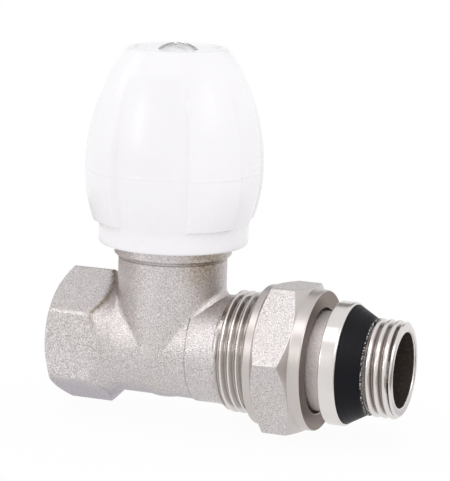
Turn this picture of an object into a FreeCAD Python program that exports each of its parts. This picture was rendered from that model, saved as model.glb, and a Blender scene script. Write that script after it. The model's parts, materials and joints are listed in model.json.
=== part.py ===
import FreeCAD
import Part

import collections
import math
import os

# Straight manual radiator valve. Millimetres, +Z up.
# The flow axis is X, from the mouth of the pipe inlet (the origin) to the radiator tail.
# The spindle axis is vertical and crosses the flow axis at SPINDLE_X.

# Fits and clearances
RUNNING_CLEARANCE = 0.05
THREAD_CLEARANCE = 0.13
SEAL_CLEARANCE = 0.05
LOOSE_CLEARANCE = 0.3
STOP_CLEARANCE = 0.2

# Pipe threads, 55 degree form, drawn as ring grooves
PITCH = 1.814
THREAD_DEPTH = 1.16
CREST_FLAT = 0.36
ROOT_FLAT = 0.30
UNION_THREAD_R = 13.22
TAIL_THREAD_R = 10.478
INLET_BORE_R = 9.316

# Body, along the flow axis
SPINDLE_X = 24.35
INLET_HEX_AF = 26.0
INLET_HEX_LENGTH = 10.4
INLET_FACE_R = 12.9
INLET_CORNER_ROUND = 1.0
INLET_THREAD_LENGTH = 11.0
BARREL_R = 11.5
BARREL_BLEND_R = 3.0
BODY_WALL = 2.7
BOSS_R = 11.85
BOSS_START = 32.25
THREAD_START = 38.5
UNION_FIRST_CREST = 2.35
BODY_LENGTH = 51.8
OUTLET_BORE_R = 9.0
OUTLET_BORE_DEPTH = 16.0

# Body, along the spindle axis
NECK_R = 11.83
NECK_FILLET = 2.2
FLARE_Z = 19.35
COLLAR_R = 12.75
BODY_TOP_Z = 24.0
NECK_BORE_R = 8.9
SEAT_WEB = 2.6
SEAT_R = 5.5
SEAT_LIP = 1.3
SEAT_LIP_HEIGHT = 0.7

# Obturator and its seal
LIFT_PITCH = 1.25
LIFT_TURNS = 3
SEAL_R = 6.9
SEAL_THICKNESS = 2.0
OBTURATOR_R = 7.7
OBTURATOR_SKIRT = 1.5
OBTURATOR_PLATE = 2.0
OBTURATOR_BOSS_R = 5.4
OBTURATOR_BOSS_HEIGHT = 5.0
SOCKET_FLOOR = 0.8
SEAL_WASHER_R = 3.4
SEAL_WASHER_THICKNESS = 0.6
SEAL_SCREW_R = 1.4
SEAL_SCREW_HEAD_R = 2.4
SEAL_SCREW_HEAD_HEIGHT = 1.1
SEAL_SCREW_SLOT = 0.55

# Spindle
SPINDLE_HEAD_R = 3.5
SPINDLE_HEAD_HEIGHT = 1.6
SPINDLE_NECK_R = 2.4
CLIP_THICKNESS = 0.6
CLIP_BITE = 0.8
CLIP_MOUTH = 60.0
SPINDLE_THREAD_R = 5.0
SPINDLE_THREAD_LENGTH = 9.0
STEM_R = 3.5
STEM_ABOVE_GLAND = 2.75
SQUARE_AF = 5.0
SQUARE_LENGTH = 17.5
EDGE_BREAK = 0.4
FINE_BREAK = 0.2

# Bonnet, packing and gland
BONNET_THREAD_R = 9.5
BONNET_HEX_AF = 22.0
BONNET_HEX_HEIGHT = 4.5
BONNET_TOWER_R = 8.0
BONNET_WEB = 1.5
STUFFING_R = 5.85
STEM_ORING_CORD = 1.8
PACKING_WASHER_THICKNESS = 1.0
GLAND_NOSE = 4.0
GLAND_NOSE_ENGAGED = 3.5
GLAND_HEX_AF = 14.0
GLAND_HEX_HEIGHT = 3.0
BONNET_ORING_CORD = 1.7

# Handwheel, heights above the skirt's rim
HUB_SEAT_HEIGHT = 17.88
SKIRT_CLEARANCE = 1.65
SKIRT_WALL = 1.8
RIM_ROUND = 0.8
LOBE_FOOT_HEIGHT = 5.25
LOBE_FOOT_R = 17.6
RECESS_FOOT_HEIGHT = 4.3
EQUATOR_HEIGHT = 16.35
LOBE_EQUATOR_R = 19.55
RECESS_DEPTH = 1.2
FADE_HEIGHT = 37.0
CROWN_HEIGHT = 42.23
CROWN_R = 10.75
DISH_R = 9.6
DISH_DEPTH = 0.4
LOBES = 4
LOBE_WIDTH = 38.0
LOBE_TURN = -40.2
CAVITY_DRAFT = 0.5
CAVITY_SHOULDER_HEIGHT = 27.6
CAVITY_TOP_R = 9.0
CROWN_WALL = 3.3
HUB_R = 5.6
RIB_THICKNESS = 1.6
RIB_HEIGHT = 16.0
SCREW_R = 2.0
SCREW_LENGTH = 12.0
SCREW_HEAD_R = 4.35
SCREW_HEAD_HEIGHT = 1.55
CROSS_WIDTH = 1.1
CROSS_LENGTH = 4.6
CROSS_DEPTH = 1.0

# Union nut
NUT_AF = 31.0
NUT_TURN = 6.0
NUT_LENGTH = 12.75
NUT_RING_R = 15.1
NUT_BACK_RING = 1.8
NUT_FRONT_RING = 2.6
NUT_FACE_WALL = 2.95
NUT_HOLE_GAP = 0.65

# Tailpiece
TAIL_GAP = 1.6
SPIGOT_LENGTH = 3.6
SPIGOT_GAP = 0.4
FLANGE_THICKNESS = 1.5
FLANGE_GAP = 0.17
TAIL_NECK_R = 10.72
THRUST_RING_THICKNESS = 1.3
THRUST_RING_R = 12.0
THRUST_RING_BITE = 1.2
THRUST_RING_MOUTH = 24.0
TAIL_COLLAR_SETBACK = 3.3
TAIL_COLLAR_R = 13.26
TAIL_COLLAR_LENGTH = 3.25
TAIL_COLLAR_LIP = 0.35
TAIL_ORING_CORD = 1.8
TAIL_THREAD_LENGTH = 6.15
TAIL_FIRST_CREST = 1.14
TAIL_BORE_R = 8.05
TAIL_END_R = 9.95
TAIL_END_ROUND = 0.25
KEY_BORE_R = 6.2
KEY_AF = 12.7
KEY_LENGTH = 8.0
CONE_LENGTH = 5.55
CONE_SEAT_R = 9.7
CONE_LARGE_R = 12.65
CONE_SMALL_R = 10.2

# Directions and turns
X_AXIS = FreeCAD.Vector(1, 0, 0)
Z_AXIS = FreeCAD.Vector(0, 0, 1)
ORIGIN = FreeCAD.Vector(0, 0, 0)
SPINDLE_FOOT = FreeCAD.Vector(SPINDLE_X, 0, 0)
FULL_TURN = 360.0
HEX_SIDES = 6
HEX_CHAMFER = math.radians(30)
HEX_CORNER = 1 / math.cos(math.pi / HEX_SIDES)
CORNER_UP = 90.0
CONE_ANGLE = math.radians(45)
QUARTER_TURN = math.radians(90)
SAME = 1e-4
EDGE_PROBES = (0.2, 0.5, 0.8)

# Heights worked up from the seat
LIFT = LIFT_PITCH * LIFT_TURNS
WEB_TOP = SEAT_WEB / 2
SEAT_Z = WEB_TOP + SEAT_LIP_HEIGHT
SEAL_BOTTOM = SEAT_Z + SEAL_CLEARANCE
SEAL_TOP = SEAL_BOTTOM + SEAL_THICKNESS
PLATE_TOP = SEAL_TOP + OBTURATOR_PLATE
OBTURATOR_TOP = PLATE_TOP + OBTURATOR_BOSS_HEIGHT
SOCKET_BOTTOM = PLATE_TOP + SOCKET_FLOOR
HEAD_BOTTOM = SOCKET_BOTTOM + STOP_CLEARANCE
HEAD_TOP = HEAD_BOTTOM + SPINDLE_HEAD_HEIGHT
CLIP_BOTTOM = HEAD_TOP + RUNNING_CLEARANCE
CLIP_TOP = CLIP_BOTTOM + CLIP_THICKNESS
SPINDLE_THREAD_BOTTOM = OBTURATOR_TOP + LOOSE_CLEARANCE
SPINDLE_THREAD_TOP = SPINDLE_THREAD_BOTTOM + SPINDLE_THREAD_LENGTH
BONNET_BOTTOM = OBTURATOR_TOP + LIFT + LOOSE_CLEARANCE
BONNET_STOP = SPINDLE_THREAD_TOP + LIFT + STOP_CLEARANCE
STUFFING_FLOOR = max(BONNET_STOP, BODY_TOP_Z) + BONNET_WEB
ORING_ROOM = STEM_ORING_CORD + 2 * SEAL_CLEARANCE
PACKING_BOTTOM = STUFFING_FLOOR + ORING_ROOM
PACKING_TOP = PACKING_BOTTOM + PACKING_WASHER_THICKNESS
GLAND_BOTTOM = PACKING_TOP + ORING_ROOM
BONNET_TOP = GLAND_BOTTOM + GLAND_NOSE_ENGAGED
GLAND_SHOULDER = GLAND_BOTTOM + GLAND_NOSE
GLAND_TOP = GLAND_SHOULDER + GLAND_HEX_HEIGHT
FLANGE_TOP = BODY_TOP_Z + BONNET_HEX_HEIGHT
BONNET_ORING_FLOOR = BODY_TOP_Z - BONNET_ORING_CORD - 2 * SEAL_CLEARANCE

# Handwheel heights and radii, worked from the stem's shoulder that its hub sits on
STEM_TOP = GLAND_TOP + STEM_ABOVE_GLAND
SQUARE_TOP = STEM_TOP + SQUARE_LENGTH
RIM_Z = STEM_TOP - HUB_SEAT_HEIGHT
CAVITY_MOUTH_R = COLLAR_R + SKIRT_CLEARANCE
SKIRT_R = CAVITY_MOUTH_R + SKIRT_WALL
EQUATOR_Z = RIM_Z + EQUATOR_HEIGHT
FADE_Z = RIM_Z + FADE_HEIGHT
CROWN_Z = RIM_Z + CROWN_HEIGHT
LOBE_FOOT_Z = RIM_Z + LOBE_FOOT_HEIGHT
RECESS_FOOT_Z = RIM_Z + RECESS_FOOT_HEIGHT
RECESS_EQUATOR_R = LOBE_EQUATOR_R - RECESS_DEPTH
DISH_Z = CROWN_Z - DISH_DEPTH
CAVITY_TOP_Z = DISH_Z - CROWN_WALL
CAVITY_SHOULDER_Z = RIM_Z + CAVITY_SHOULDER_HEIGHT

# Stations of the union, worked along the flow axis from the body's end
FLANGE_BACK = BODY_LENGTH + TAIL_GAP
FLANGE_FRONT = FLANGE_BACK + FLANGE_THICKNESS
NUT_SEAT = FLANGE_FRONT + THRUST_RING_THICKNESS + 2 * RUNNING_CLEARANCE
NUT_FRONT = NUT_SEAT + NUT_FACE_WALL
NUT_BACK = NUT_FRONT - NUT_LENGTH
SPIGOT_END = FLANGE_BACK - SPIGOT_LENGTH
SPIGOT_R = OUTLET_BORE_R - SPIGOT_GAP
NUT_HOLE_R = TAIL_NECK_R + NUT_HOLE_GAP
FLANGE_R = NUT_HOLE_R - FLANGE_GAP
RING_GROOVE_R = TAIL_NECK_R - THRUST_RING_BITE
COLLAR_BACK = NUT_FRONT + TAIL_COLLAR_SETBACK
COLLAR_FRONT = COLLAR_BACK + TAIL_COLLAR_LENGTH
TAIL_THREAD_START = COLLAR_FRONT + CONE_LENGTH
TAIL_END = TAIL_THREAD_START + TAIL_THREAD_LENGTH
TAIL_ROOT_R = TAIL_THREAD_R - THREAD_DEPTH


# A point that an outline's arc passes through, between the corners before and after it
Through = collections.namedtuple("Through", "along across")


def on_flow(point):
    """Place of a (station, radius) point beside the flow axis."""
    return FreeCAD.Vector(point[0], 0, point[1])


def on_spindle(point):
    """Place of a (radius, height) point beside the spindle axis."""
    return FreeCAD.Vector(SPINDLE_X + point[0], 0, point[1])


def outline(points, place):
    """Face inside a closed outline of straight lines, and of arcs where a Through point stands."""
    edges = []
    start = place(points[0])
    middle = None
    for point in points[1:] + points[:1]:
        if isinstance(point, Through):
            middle = place(point)
            continue
        end = place(point)
        if middle is None:
            edges.append(Part.makeLine(start, end))
        else:
            edges.append(Part.Arc(start, middle, end).toShape())
        start = end
        middle = None
    return Part.Face(Part.Wire(edges))


def turned_x(points):
    """Solid turned about the flow axis from (station, radius) corners."""
    return outline(points, on_flow).revolve(ORIGIN, X_AXIS, FULL_TURN)


def turned_z(points, sweep=FULL_TURN):
    """Solid turned about the spindle axis from (radius, height) corners, all round or part of the way."""
    return outline(points, on_spindle).revolve(SPINDLE_FOOT, Z_AXIS, sweep)


def round_middle(start, end, bulge):
    """Middle of the arc between two corners, standing off its chord to the left by a share of the chord."""
    along = end[0] - start[0]
    across = end[1] - start[1]
    return Through((start[0] + end[0]) / 2 - across * bulge, (start[1] + end[1]) / 2 + along * bulge)


def arc_bulge(sweep):
    """How far an arc of the given angle stands off its chord, as a share of the chord."""
    return math.tan(sweep / 4) / 2


def ring_x(inner, outer, start, end):
    """Plain ring about the flow axis."""
    return turned_x([(start, inner), (start, outer), (end, outer), (end, inner)])


def ring_z(inner, outer, bottom, top):
    """Plain ring about the spindle axis."""
    return turned_z([(inner, bottom), (outer, bottom), (outer, top), (inner, top)])


def rod_x(radius, start, end):
    """Cylinder on the flow axis."""
    return Part.makeCylinder(radius, end - start, FreeCAD.Vector(start, 0, 0), X_AXIS)


def rod_z(radius, bottom, top):
    """Cylinder on the spindle axis."""
    return Part.makeCylinder(radius, top - bottom, FreeCAD.Vector(SPINDLE_X, 0, bottom), Z_AXIS)


def hexagon_x(across_flats, turn, start, end):
    """Hexagonal bar on the flow axis, with one corner at the given turn from -Y towards +Z."""
    corner_r = across_flats / 2 * HEX_CORNER
    corners = []
    for side in range(HEX_SIDES):
        angle = math.radians(turn + side * FULL_TURN / HEX_SIDES)
        corners.append(FreeCAD.Vector(start, -corner_r * math.cos(angle), corner_r * math.sin(angle)))
    face = Part.Face(Part.makePolygon(corners + corners[:1]))
    return face.extrude(X_AXIS * (end - start))


def round_corners_x(bar, radius):
    """Bar along the flow axis with its long corners rounded."""
    corners = []
    for edge in bar.Edges:
        along = edge.tangentAt(edge.FirstParameter).dot(X_AXIS)
        if abs(along) > 1 - SAME:
            corners.append(edge)
    return bar.makeFillet(radius, corners)


def hexagon_z(across_flats, bottom, top):
    """Hexagonal bar on the spindle axis, with its corners taken off at the top by a turned chamfer."""
    corner_r = across_flats / 2 * HEX_CORNER
    corners = []
    for side in range(HEX_SIDES):
        angle = math.radians(side * FULL_TURN / HEX_SIDES)
        x = SPINDLE_X + corner_r * math.cos(angle)
        y = corner_r * math.sin(angle)
        corners.append(FreeCAD.Vector(x, y, bottom))
    bar = Part.Face(Part.makePolygon(corners + corners[:1])).extrude(Z_AXIS * (top - bottom))
    drop = (corner_r - across_flats / 2) * math.tan(HEX_CHAMFER)
    envelope = turned_z([
        (0, bottom),
        (corner_r, bottom),
        (corner_r, top - drop),
        (across_flats / 2, top),
        (0, top),
    ])
    return bar.common(envelope)


def square_z(across_flats, bottom, top):
    """Square bar on the spindle axis."""
    corner = FreeCAD.Vector(SPINDLE_X - across_flats / 2, -across_flats / 2, bottom)
    return Part.makeBox(across_flats, across_flats, top - bottom, corner)


def oring(cord, inner_r, centre, axis):
    """Rubber ring of round section, by its cord and the radius of the hole through it."""
    return Part.makeTorus(inner_r + cord / 2, cord / 2, centre, axis)


def sector(shape, mouth, centre, axis, turn):
    """Split ring: the shape with a wedge of the given angle taken out."""
    reach = shape.BoundBox.DiagonalLength
    middle = centre - axis * reach / 2
    wedge = Part.makeCylinder(reach, reach, middle, axis, mouth)
    wedge.rotate(centre, axis, turn - mouth / 2)
    return shape.cut(wedge)


def thread_outline(first_crest, end, crest_r):
    """Corners of an external thread: ring crests a pitch apart, each with a groove after it."""
    flank = (PITCH - CREST_FLAT - ROOT_FLAT) / 2
    groove_end = CREST_FLAT / 2 + flank + ROOT_FLAT
    root_r = crest_r - THREAD_DEPTH
    corners = [(first_crest - CREST_FLAT / 2 - flank, root_r)]
    for turn in range(1 + int((end - first_crest - groove_end) / PITCH)):
        crest = first_crest + turn * PITCH
        corners.append((crest - CREST_FLAT / 2, crest_r))
        corners.append((crest + CREST_FLAT / 2, crest_r))
        corners.append((crest + CREST_FLAT / 2 + flank, root_r))
        corners.append((crest + groove_end, root_r))
    return corners


def seam_edges(shape, neck, barrel):
    """Edges along which the neck and the barrel meet."""
    found = []
    for edge in shape.Edges:
        first, last = edge.ParameterRange
        probes = [edge.valueAt(first + (last - first) * share) for share in EDGE_PROBES]
        corners = [Part.Vertex(probe) for probe in probes]
        on_neck = all(corner.distToShape(neck.Shells[0])[0] < SAME for corner in corners)
        on_barrel = all(corner.distToShape(barrel.Shells[0])[0] < SAME for corner in corners)
        if on_neck and on_barrel:
            found.append(edge)
    return found


def body_casting():
    """Outside of the cast body: inlet hexagon, barrel, globe, flared neck and union thread."""
    corner_r = INLET_HEX_AF / 2 * HEX_CORNER
    face_chamfer = (corner_r - INLET_FACE_R) * math.tan(HEX_CHAMFER)
    cone_end = INLET_HEX_LENGTH + corner_r - BARREL_R
    blend = BARREL_BLEND_R * math.tan(CONE_ANGLE / 2)
    blend_start = (cone_end - blend * math.cos(CONE_ANGLE), BARREL_R + blend * math.sin(CONE_ANGLE))
    blend_end = (cone_end + blend, BARREL_R)
    inlet_envelope = turned_x([
        (0, 0),
        (0, INLET_FACE_R),
        (face_chamfer, corner_r),
        (INLET_HEX_LENGTH, corner_r),
        blend_start,
        round_middle(blend_start, blend_end, -arc_bulge(CONE_ANGLE)),
        blend_end,
        (blend_end[0], 0),
    ])
    inlet_bar = round_corners_x(hexagon_x(INLET_HEX_AF, CORNER_UP, 0, blend_end[0]), INLET_CORNER_ROUND)
    inlet = inlet_envelope.common(inlet_bar)
    globe = Part.makeSphere(NECK_R, SPINDLE_FOOT)
    neck = globe.fuse(rod_z(NECK_R, 0, BODY_TOP_Z)).removeSplitter()
    barrel = rod_x(BARREL_R, INLET_HEX_LENGTH / 2, THREAD_START)
    core = neck.fuse(barrel)
    core = core.makeFillet(NECK_FILLET, seam_edges(core, neck, barrel))
    flare_end = FLARE_Z + COLLAR_R - NECK_R
    flare = turned_z([
        (0, FLARE_Z),
        (NECK_R, FLARE_Z),
        (COLLAR_R, flare_end),
        (COLLAR_R, BODY_TOP_Z),
        (0, BODY_TOP_Z),
    ])
    union_root_r = UNION_THREAD_R - THREAD_DEPTH
    first_crest = THREAD_START + UNION_FIRST_CREST
    outlet_outline = [
        (BOSS_START, 0),
        (BOSS_START, BOSS_R),
        (THREAD_START, BOSS_R),
        (THREAD_START, union_root_r),
    ]
    outlet_outline.extend(thread_outline(first_crest, BODY_LENGTH - EDGE_BREAK, UNION_THREAD_R))
    outlet_outline.append((BODY_LENGTH - EDGE_BREAK, union_root_r + EDGE_BREAK))
    outlet_outline.append((BODY_LENGTH, union_root_r))
    outlet_outline.append((BODY_LENGTH, 0))
    return core.multiFuse([inlet, flare, turned_x(outlet_outline)]).removeSplitter()


def half_duct(start, end, side):
    """D-shaped half of the flow passage, above (side 1) or below (side -1) the seat bridge."""
    radius = BARREL_R - BODY_WALL
    duct = rod_x(radius, start, end)
    floor = WEB_TOP if side > 0 else -WEB_TOP - radius
    keep = Part.makeBox(end - start, 2 * radius, radius, FreeCAD.Vector(start, -radius, floor))
    return duct.common(keep)


def valve_body():
    """Body with its inlet bore, the two half ducts on either side of the seat, neck bore and outlet."""
    outlet_start = BODY_LENGTH - OUTLET_BORE_DEPTH
    inlet_bore = rod_x(INLET_BORE_R, 0, INLET_THREAD_LENGTH)
    lower_duct = half_duct(INLET_THREAD_LENGTH, SPINDLE_X + SEAT_R + SEAT_LIP, -1)
    upper_duct = half_duct(SPINDLE_X, outlet_start + RUNNING_CLEARANCE, 1)
    outlet_bore = rod_x(OUTLET_BORE_R, outlet_start, BODY_LENGTH)
    neck_bore = turned_z([
        (0, WEB_TOP),
        (NECK_BORE_R, WEB_TOP),
        (NECK_BORE_R, BONNET_BOTTOM),
        (BONNET_THREAD_R + RUNNING_CLEARANCE, BONNET_BOTTOM),
        (BONNET_THREAD_R + RUNNING_CLEARANCE, BONNET_ORING_FLOOR),
        (BONNET_THREAD_R + BONNET_ORING_CORD + 2 * SEAL_CLEARANCE, BONNET_ORING_FLOOR),
        (BONNET_THREAD_R + BONNET_ORING_CORD + 2 * SEAL_CLEARANCE, BODY_TOP_Z),
        (0, BODY_TOP_Z),
    ])
    seat_bore = rod_z(SEAT_R, -WEB_TOP, WEB_TOP)
    seat_lip = ring_z(SEAT_R, SEAT_R + SEAT_LIP, WEB_TOP, SEAT_Z)
    body = body_casting().cut([inlet_bore, lower_duct, upper_duct, outlet_bore, neck_bore, seat_bore])
    return body.fuse(seat_lip).removeSplitter()


def obturator():
    """Disc holder: a cup for the seal below, and a socket for the spindle's head above."""
    screw_hole = SEAL_SCREW_R + RUNNING_CLEARANCE
    cup = turned_z([
        (screw_hole, SEAL_TOP),
        (SEAL_R + RUNNING_CLEARANCE, SEAL_TOP),
        (SEAL_R + RUNNING_CLEARANCE, SEAL_TOP - OBTURATOR_SKIRT),
        (OBTURATOR_R, SEAL_TOP - OBTURATOR_SKIRT),
        (OBTURATOR_R, PLATE_TOP - EDGE_BREAK),
        (OBTURATOR_R - EDGE_BREAK, PLATE_TOP),
        (OBTURATOR_BOSS_R, PLATE_TOP),
        (OBTURATOR_BOSS_R, OBTURATOR_TOP),
        (SPINDLE_HEAD_R + RUNNING_CLEARANCE, OBTURATOR_TOP),
        (SPINDLE_HEAD_R + RUNNING_CLEARANCE, SOCKET_BOTTOM),
        (screw_hole, SOCKET_BOTTOM),
    ])
    groove_r = SPINDLE_HEAD_R + CLIP_BITE
    groove = ring_z(SPINDLE_HEAD_R, groove_r, CLIP_BOTTOM, CLIP_TOP + RUNNING_CLEARANCE)
    return cup.cut(groove)


def obturator_seal():
    """Rubber disc that closes the seat."""
    return ring_z(SEAL_SCREW_R + RUNNING_CLEARANCE, SEAL_R, SEAL_BOTTOM, SEAL_TOP)


def seal_washer():
    """Washer under the seal, inside the seat's bore."""
    hole_r = SEAL_SCREW_R + RUNNING_CLEARANCE
    return ring_z(hole_r, SEAL_WASHER_R, SEAL_BOTTOM - SEAL_WASHER_THICKNESS, SEAL_BOTTOM)


def seal_screw():
    """Screw that clamps the washer and the seal to the obturator."""
    head_top = SEAL_BOTTOM - SEAL_WASHER_THICKNESS
    head_bottom = head_top - SEAL_SCREW_HEAD_HEIGHT
    head = rod_z(SEAL_SCREW_HEAD_R, head_bottom, head_top)
    slot_corner = FreeCAD.Vector(SPINDLE_X - SEAL_SCREW_HEAD_R, -SEAL_SCREW_SLOT / 2, head_bottom)
    slot = Part.makeBox(2 * SEAL_SCREW_HEAD_R, SEAL_SCREW_SLOT, SEAL_SCREW_SLOT, slot_corner)
    return head.fuse(rod_z(SEAL_SCREW_R, head_top, SOCKET_BOTTOM)).cut(slot).removeSplitter()


def spindle_retaining_clip():
    """Open ring in the obturator's socket that keeps the spindle's head in it."""
    ring = ring_z(
        SPINDLE_NECK_R + RUNNING_CLEARANCE,
        SPINDLE_HEAD_R + CLIP_BITE - RUNNING_CLEARANCE,
        CLIP_BOTTOM,
        CLIP_TOP,
    )
    return sector(ring, CLIP_MOUTH, SPINDLE_FOOT, Z_AXIS, 0)


def spindle():
    """Rising spindle: swivel head, threaded shank, stem and square end with a tapped hole."""
    shank = turned_z([
        (0, HEAD_BOTTOM),
        (SPINDLE_HEAD_R, HEAD_BOTTOM),
        (SPINDLE_HEAD_R, HEAD_TOP),
        (SPINDLE_NECK_R, HEAD_TOP),
        (SPINDLE_NECK_R, SPINDLE_THREAD_BOTTOM),
        (SPINDLE_THREAD_R - EDGE_BREAK, SPINDLE_THREAD_BOTTOM),
        (SPINDLE_THREAD_R, SPINDLE_THREAD_BOTTOM + EDGE_BREAK),
        (SPINDLE_THREAD_R, SPINDLE_THREAD_TOP - EDGE_BREAK),
        (SPINDLE_THREAD_R - EDGE_BREAK, SPINDLE_THREAD_TOP),
        (STEM_R, SPINDLE_THREAD_TOP),
        (STEM_R, STEM_TOP),
        (0, STEM_TOP),
    ])
    square = square_z(SQUARE_AF, STEM_TOP, SQUARE_TOP).common(rod_z(STEM_R, STEM_TOP, SQUARE_TOP))
    tapped_hole = rod_z(SCREW_R + RUNNING_CLEARANCE, DISH_Z - SCREW_LENGTH - STOP_CLEARANCE, SQUARE_TOP)
    return shank.fuse(square).cut(tapped_hole).removeSplitter()


def bonnet():
    """Headwork that carries the spindle: body thread, hexagon and stuffing box."""
    thread = turned_z([
        (0, BONNET_BOTTOM),
        (BONNET_THREAD_R - EDGE_BREAK, BONNET_BOTTOM),
        (BONNET_THREAD_R, BONNET_BOTTOM + EDGE_BREAK),
        (BONNET_THREAD_R, BODY_TOP_Z),
        (0, BODY_TOP_Z),
    ])
    hexagon = hexagon_z(BONNET_HEX_AF, BODY_TOP_Z, FLANGE_TOP)
    tower = turned_z([
        (0, FLANGE_TOP),
        (BONNET_TOWER_R, FLANGE_TOP),
        (BONNET_TOWER_R, BONNET_TOP - EDGE_BREAK),
        (BONNET_TOWER_R - EDGE_BREAK, BONNET_TOP),
        (0, BONNET_TOP),
    ])
    spindle_bore = turned_z([
        (0, BONNET_BOTTOM),
        (SPINDLE_THREAD_R + RUNNING_CLEARANCE, BONNET_BOTTOM),
        (SPINDLE_THREAD_R + RUNNING_CLEARANCE, BONNET_STOP),
        (STEM_R + RUNNING_CLEARANCE, BONNET_STOP),
        (STEM_R + RUNNING_CLEARANCE, STUFFING_FLOOR),
        (STUFFING_R, STUFFING_FLOOR),
        (STUFFING_R, BONNET_TOP),
        (0, BONNET_TOP),
    ])
    return thread.multiFuse([hexagon, tower]).cut(spindle_bore).removeSplitter()


def bonnet_oring():
    """Rubber ring that seals the bonnet to the body's mouth."""
    centre = FreeCAD.Vector(SPINDLE_X, 0, BODY_TOP_Z - BONNET_ORING_CORD / 2 - SEAL_CLEARANCE)
    return oring(BONNET_ORING_CORD, BONNET_THREAD_R + SEAL_CLEARANCE, centre, Z_AXIS)


def stem_oring(bottom):
    """Rubber ring on the stem, in the stuffing box."""
    centre = FreeCAD.Vector(SPINDLE_X, 0, bottom + ORING_ROOM / 2)
    return oring(STEM_ORING_CORD, STEM_R + SEAL_CLEARANCE, centre, Z_AXIS)


def packing_washer():
    """Plain washer between the two stem rings."""
    return ring_z(STEM_R + SEAL_CLEARANCE, STUFFING_R - SEAL_CLEARANCE, PACKING_BOTTOM, PACKING_TOP)


def gland_nut():
    """Hexagonal nut screwed into the bonnet to hold the stem rings down."""
    nose = rod_z(STUFFING_R - RUNNING_CLEARANCE, GLAND_BOTTOM, GLAND_SHOULDER)
    hexagon = hexagon_z(GLAND_HEX_AF, GLAND_SHOULDER, GLAND_TOP)
    stem_hole = rod_z(STEM_R + RUNNING_CLEARANCE, GLAND_BOTTOM, GLAND_TOP)
    return nose.fuse(hexagon).cut(stem_hole).removeSplitter()


def bulge_r(equator_r, end_r, end_z, z):
    """Radius at height z of an arc that is upright at the equator and ends at (end_r, end_z)."""
    rise = end_z - EQUATOR_Z
    arc_r = ((equator_r - end_r) ** 2 + rise ** 2) / (2 * (equator_r - end_r))
    return math.sqrt(arc_r ** 2 - (z - EQUATOR_Z) ** 2) - arc_r + equator_r


def bulge_points(equator_r, end_r, end_z, start_z, stop_z):
    """Outline points of that arc between two heights: start, middle and stop."""
    middle_z = (start_z + stop_z) / 2
    start = (bulge_r(equator_r, end_r, end_z, start_z), start_z)
    middle = Through(bulge_r(equator_r, end_r, end_z, middle_z), middle_z)
    stop = (bulge_r(equator_r, end_r, end_z, stop_z), stop_z)
    return [start, middle, stop]


def wheel_core():
    """Handwheel without its lobes: skirt, recessed flanks and dome, solid."""
    fade_r = bulge_r(LOBE_EQUATOR_R, CROWN_R, CROWN_Z, FADE_Z)
    rim_inside = (SKIRT_R - RIM_ROUND, RIM_Z)
    rim_outside = (SKIRT_R, RIM_Z + RIM_ROUND)
    lower_flank = bulge_points(RECESS_EQUATOR_R, SKIRT_R, RECESS_FOOT_Z, RECESS_FOOT_Z, EQUATOR_Z)
    upper_flank = bulge_points(RECESS_EQUATOR_R, fade_r, FADE_Z, EQUATOR_Z, FADE_Z)
    dome = bulge_points(LOBE_EQUATOR_R, CROWN_R, CROWN_Z, FADE_Z, CROWN_Z)
    rim_middle = round_middle(rim_inside, rim_outside, -arc_bulge(QUARTER_TURN))
    rim = [(0, RIM_Z), rim_inside, rim_middle, rim_outside]
    return turned_z(rim + lower_flank + upper_flank[1:] + dome[1:] + [(0, CROWN_Z)])


def wheel_lobe(turn):
    """One raised grip lobe, from its ledge above the skirt to where it fades into the dome."""
    lower_flank = bulge_points(LOBE_EQUATOR_R, LOBE_FOOT_R, LOBE_FOOT_Z, LOBE_FOOT_Z, EQUATOR_Z)
    upper_flank = bulge_points(LOBE_EQUATOR_R, CROWN_R, CROWN_Z, EQUATOR_Z, FADE_Z)
    lobe = turned_z([(CAVITY_MOUTH_R, LOBE_FOOT_Z)] + lower_flank + upper_flank[1:], LOBE_WIDTH)
    lobe.rotate(SPINDLE_FOOT, Z_AXIS, turn - LOBE_WIDTH / 2)
    return lobe


def handwheel():
    """Moulded handwheel: domed shell with grip lobes, open skirt, ribbed hub and square socket."""
    turns = [LOBE_TURN + lobe * FULL_TURN / LOBES for lobe in range(LOBES)]
    shell = wheel_core().multiFuse([wheel_lobe(turn) for turn in turns])
    cavity = turned_z([
        (0, RIM_Z),
        (CAVITY_MOUTH_R, RIM_Z),
        (CAVITY_MOUTH_R - CAVITY_DRAFT, CAVITY_SHOULDER_Z),
        (CAVITY_TOP_R, CAVITY_TOP_Z),
        (0, CAVITY_TOP_Z),
    ])
    hub = rod_z(HUB_R, STEM_TOP, DISH_Z)
    inner = [hub]
    for turn in turns:
        rib = Part.makeBox(
            CAVITY_MOUTH_R,
            RIB_THICKNESS,
            RIB_HEIGHT,
            FreeCAD.Vector(SPINDLE_X, -RIB_THICKNESS / 2, CAVITY_TOP_Z - RIB_HEIGHT),
        )
        rib.rotate(SPINDLE_FOOT, Z_AXIS, turn)
        inner.append(rib.common(cavity))
    socket = square_z(SQUARE_AF + 2 * RUNNING_CLEARANCE, STEM_TOP, SQUARE_TOP + STOP_CLEARANCE)
    screw_hole = rod_z(SCREW_R + RUNNING_CLEARANCE, SQUARE_TOP, CROWN_Z)
    dish = turned_z([(0, DISH_Z), (DISH_R - DISH_DEPTH, DISH_Z), (DISH_R, CROWN_Z), (0, CROWN_Z)])
    wheel = shell.cut(cavity).multiFuse(inner)
    return wheel.cut([socket, screw_hole, dish]).removeSplitter()


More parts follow.
